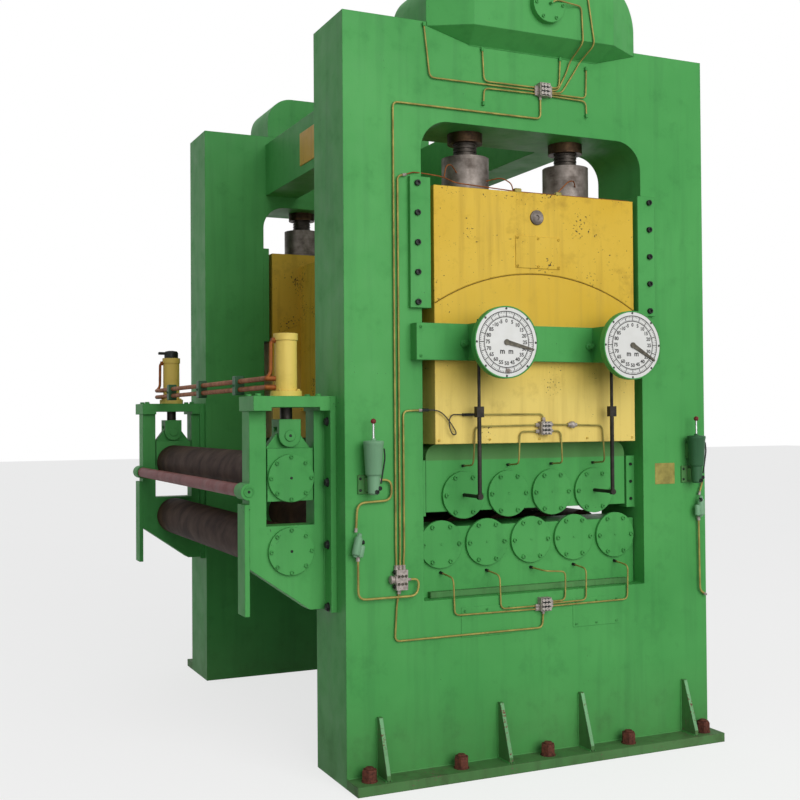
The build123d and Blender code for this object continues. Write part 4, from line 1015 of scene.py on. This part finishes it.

# %% [markdown]
# ## Seams
# The rocker slides in the upper block on a round seat, and the joint is drawn as a thin dark arc, a painted shade
# of the gap. The arc is a tube sunk by half into the front, with stations at equal angles about the strip's height.

# %% Painted shade in the round seat
# Painted shade: the dark brown arc stands for the shade in the gap of the seat.
seam_shade = metal("seam_shade_brown", "#6a5222", "#3a2c14", 0.01, 0.006, "X", 0.5, 0.0, 0.2)
seat_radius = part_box("rocker_blocks")[1].z - upper_roll_z
stations, half_seat, seam_shade_radius = 60, 0.509, 0.0012
lean = np.linspace(-1, 1, stations) * math.asin(half_seat / seat_radius)
seat = np.stack([seat_radius * np.sin(lean), np.full(stations, rocker_wall + 0.0006),
                 upper_roll_z + seat_radius * np.cos(lean)], -1)
piece("seat_seam_shade", joined(*[tube(path, seam_shade_radius, 6) for path in (seat, both_sides(seat))]), seam_shade, "rocker")

# %% [markdown]
# ## Plain plate and weld beads
# The beam between the housings carries a plain yellow plate. Where gussets and flanges meet the
# housing, the welder's bead shows as a fine ripple: a tube whose radius swells every few millimetres.

# %% Sign plate and welds
sign_yellow = enamel("yellow_sign_enamel", "#d3a63a", "#dcb24a", "#94702a", "#5a2a1c", 0.78, 0.4, 0.35)
tie_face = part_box("tie_beams")[0].x
piece("bare_sign_plate", set_on(plate(0.60, 0.180, 0.004, 0.006, 0.0015), [(tie_face, 0.0, 2.985)], "entry"),
      sign_yellow, "frame")


def bead(start, end, radius=0.0055):
    """Stations every 5 mm along a straight line; the radius is r (1 + 0.18 sin) with a swell each 12 mm."""
    start, end = np.array(start, float), np.array(end, float)
    length = np.linalg.norm(end - start)
    along = np.arange(0, length, 0.005)
    path = start + along[:, None] * (end - start) / length
    swell = radius * (1 + 0.18 * np.sin(along * 2 * math.pi / 0.012))
    return tube(path, swell[:, None, None], 6)


gusset_edges = np.array([-0.776, -0.206, 0.206, 0.776])[:, None] + np.array([-0.009, 0.009])
gusset_welds = [bead((across, wall, 0.045), (across, wall, 0.278)) for across in gusset_edges.ravel()]
foot_welds = [bead((across, wall, foot_top), (across, wall - 0.100, foot_top)) for across in gusset_edges.ravel()]
base_weld = bead((-0.915, wall, foot_top), (0.915, wall, foot_top))
case_weld = bead((-0.33, wall, apron_foot), (0.33, wall, apron_foot), 0.004)
flange_weld = bead((flange_x, bracket_front, 0.72), (flange_x, bracket_front, 1.54), 0.005)
near_points, near_faces = joined(*gusset_welds, *foot_welds, base_weld, case_weld, flange_weld)
piece("weld_beads", joined((near_points, near_faces), (both_sides(near_points), near_faces)), green, "frame")

# %% [markdown]
# ## Lit and chipped gussets
# The sloped face of each gusset is painted a paler green, a painted highlight of the light from above, and is
# chipped to rust. A skin half a millimetre proud carries that paint: a flat profile along the slope, swept across
# the thickness of the plate.

# %% Gusset faces
# Painted highlight: the pale green stands for light on the slope; the rust-brown chips are wear.
lit_slope_green = enamel("lit_slope_chipped_green_enamel", "#70ad76", "#80ba86", "#557a52", "#6a4a37", 0.66, 0.5, 0.5)
slope = np.array([(wall - 0.022, 0.2795), (wall - 0.0995, 0.0625)])
proud, sunk, half_thickness = 0.0005, 0.002, 0.0087
square_off = np.array([slope[1, 1] - slope[0, 1], slope[0, 0] - slope[1, 0]]) / np.linalg.norm(slope[1] - slope[0])
profile = np.concatenate([slope + proud * square_off, slope[::-1] - sunk * square_off])
skin = np.stack([np.insert(profile, 0, side, axis=1) for side in (-half_thickness, half_thickness)]).reshape(-1, 3)
skin_faces = np.array([(0, 1, 5, 4), (1, 2, 6, 5), (2, 3, 7, 6), (3, 0, 4, 7), (0, 3, 2, 1), (4, 5, 6, 7)])
near_skins = [(skin + (across, 0, 0), skin_faces) for across in gusset_edges.mean(1)]
far_skins = [(both_sides(points), faces) for points, faces in near_skins]
piece("gusset_faces", joined(*near_skins, *far_skins), lit_slope_green, "frame")

# %% [markdown]
# ## Stage and light
# A pale floor, a bright soft sky and two large lamps are enough. The front of the machine faces the brighter
# lamp, so the entry side falls a little darker.

# %% Stage and light
def seen_directly(tree):
    """1 where the camera, a mirror or a glass looks, 0 for the light that bounces on."""
    rays = add(tree, "ShaderNodeLightPath", {}).outputs
    mirrored = maths(tree, "ADD", rays["Is Camera Ray"], rays["Is Glossy Ray"])
    return maths(tree, "ADD", mirrored, rays["Is Transmission Ray"], clamp=True)


def floor_paint():
    """Pale matt floor with faint clouds a metre wide. Nearly three quarters of what is seen is plain white and the
    rest is lit, so a soft shadow stays; the light that it throws back up is that of a grey floor."""
    material, tree, shader, place, tone = clouded("pale_floor", 1.0, 2.0, "#f4f4f2", "#f8f8f7", 0.9)
    bright = add(tree, "ShaderNodeEmission", {}, Color=(1, 1, 1, 1), Strength=1.0)
    looked_at = add(tree, "ShaderNodeMixShader", {}, s0=0.72, s1=shader.outputs[0], s2=bright.outputs[0])
    thrown = add(tree, "ShaderNodeBsdfDiffuse", {}, Color=linear("#9a9a96"))
    both = add(tree, "ShaderNodeMixShader", {}, s0=seen_directly(tree), s1=thrown.outputs[0], s2=looked_at.outputs[0])
    tree.links.new(both.outputs[0], tree.nodes["Material Output"].inputs["Surface"])
    return material


half = 40.0
floor_mesh = bpy.data.meshes.new("floor")
floor_mesh.from_pydata([(-half, -half, 0), (half, -half, 0), (half, half, 0), (-half, half, 0)], [], [(0, 1, 2, 3)])
floor_mesh.materials.append(floor_paint())
floor = shown("floor", floor_mesh)

sky = bpy.data.worlds.new("studio")
sky.use_nodes = True
bpy.context.scene.world = sky
sky_tree = sky.node_tree
soft = sky_tree.nodes["Background"]
soft.inputs["Color"].default_value = linear("#f3f5f7")
soft.inputs["Strength"].default_value = 0.36
white = add(sky_tree, "ShaderNodeBackground", {}, Color=(1, 1, 1, 1), Strength=1.0)
seen = add(sky_tree, "ShaderNodeMixShader", {}, s0=seen_directly(sky_tree), s1=soft.outputs[0], s2=white.outputs[0])
sky_tree.links.new(seen.outputs[0], sky_tree.nodes["World Output"].inputs["Surface"])


def lamp(name, place, target, size, watts):
    """A square soft lamp that looks from its place to a target."""
    light = bpy.data.lights.new(name, "AREA")
    light.size = size
    light.energy = watts
    away = np.array(place, float) - np.array(target, float)
    away /= np.linalg.norm(away)
    sideways = np.cross((0, 0, 1.0), away)
    sideways /= np.linalg.norm(sideways)
    return stand(shown(name, light), sideways, np.cross(away, sideways), away, place)


lamp("front_lamp", (0.2, -10.5, 4.6), (0, -1, 1.5), 8.0, 800)
lamp("entry_lamp", (-7.5, -1.5, 5.0), (-0.5, 0, 1.6), 5.0, 10)
bpy.context.scene.view_settings.view_transform = "Standard"
print("stage set")
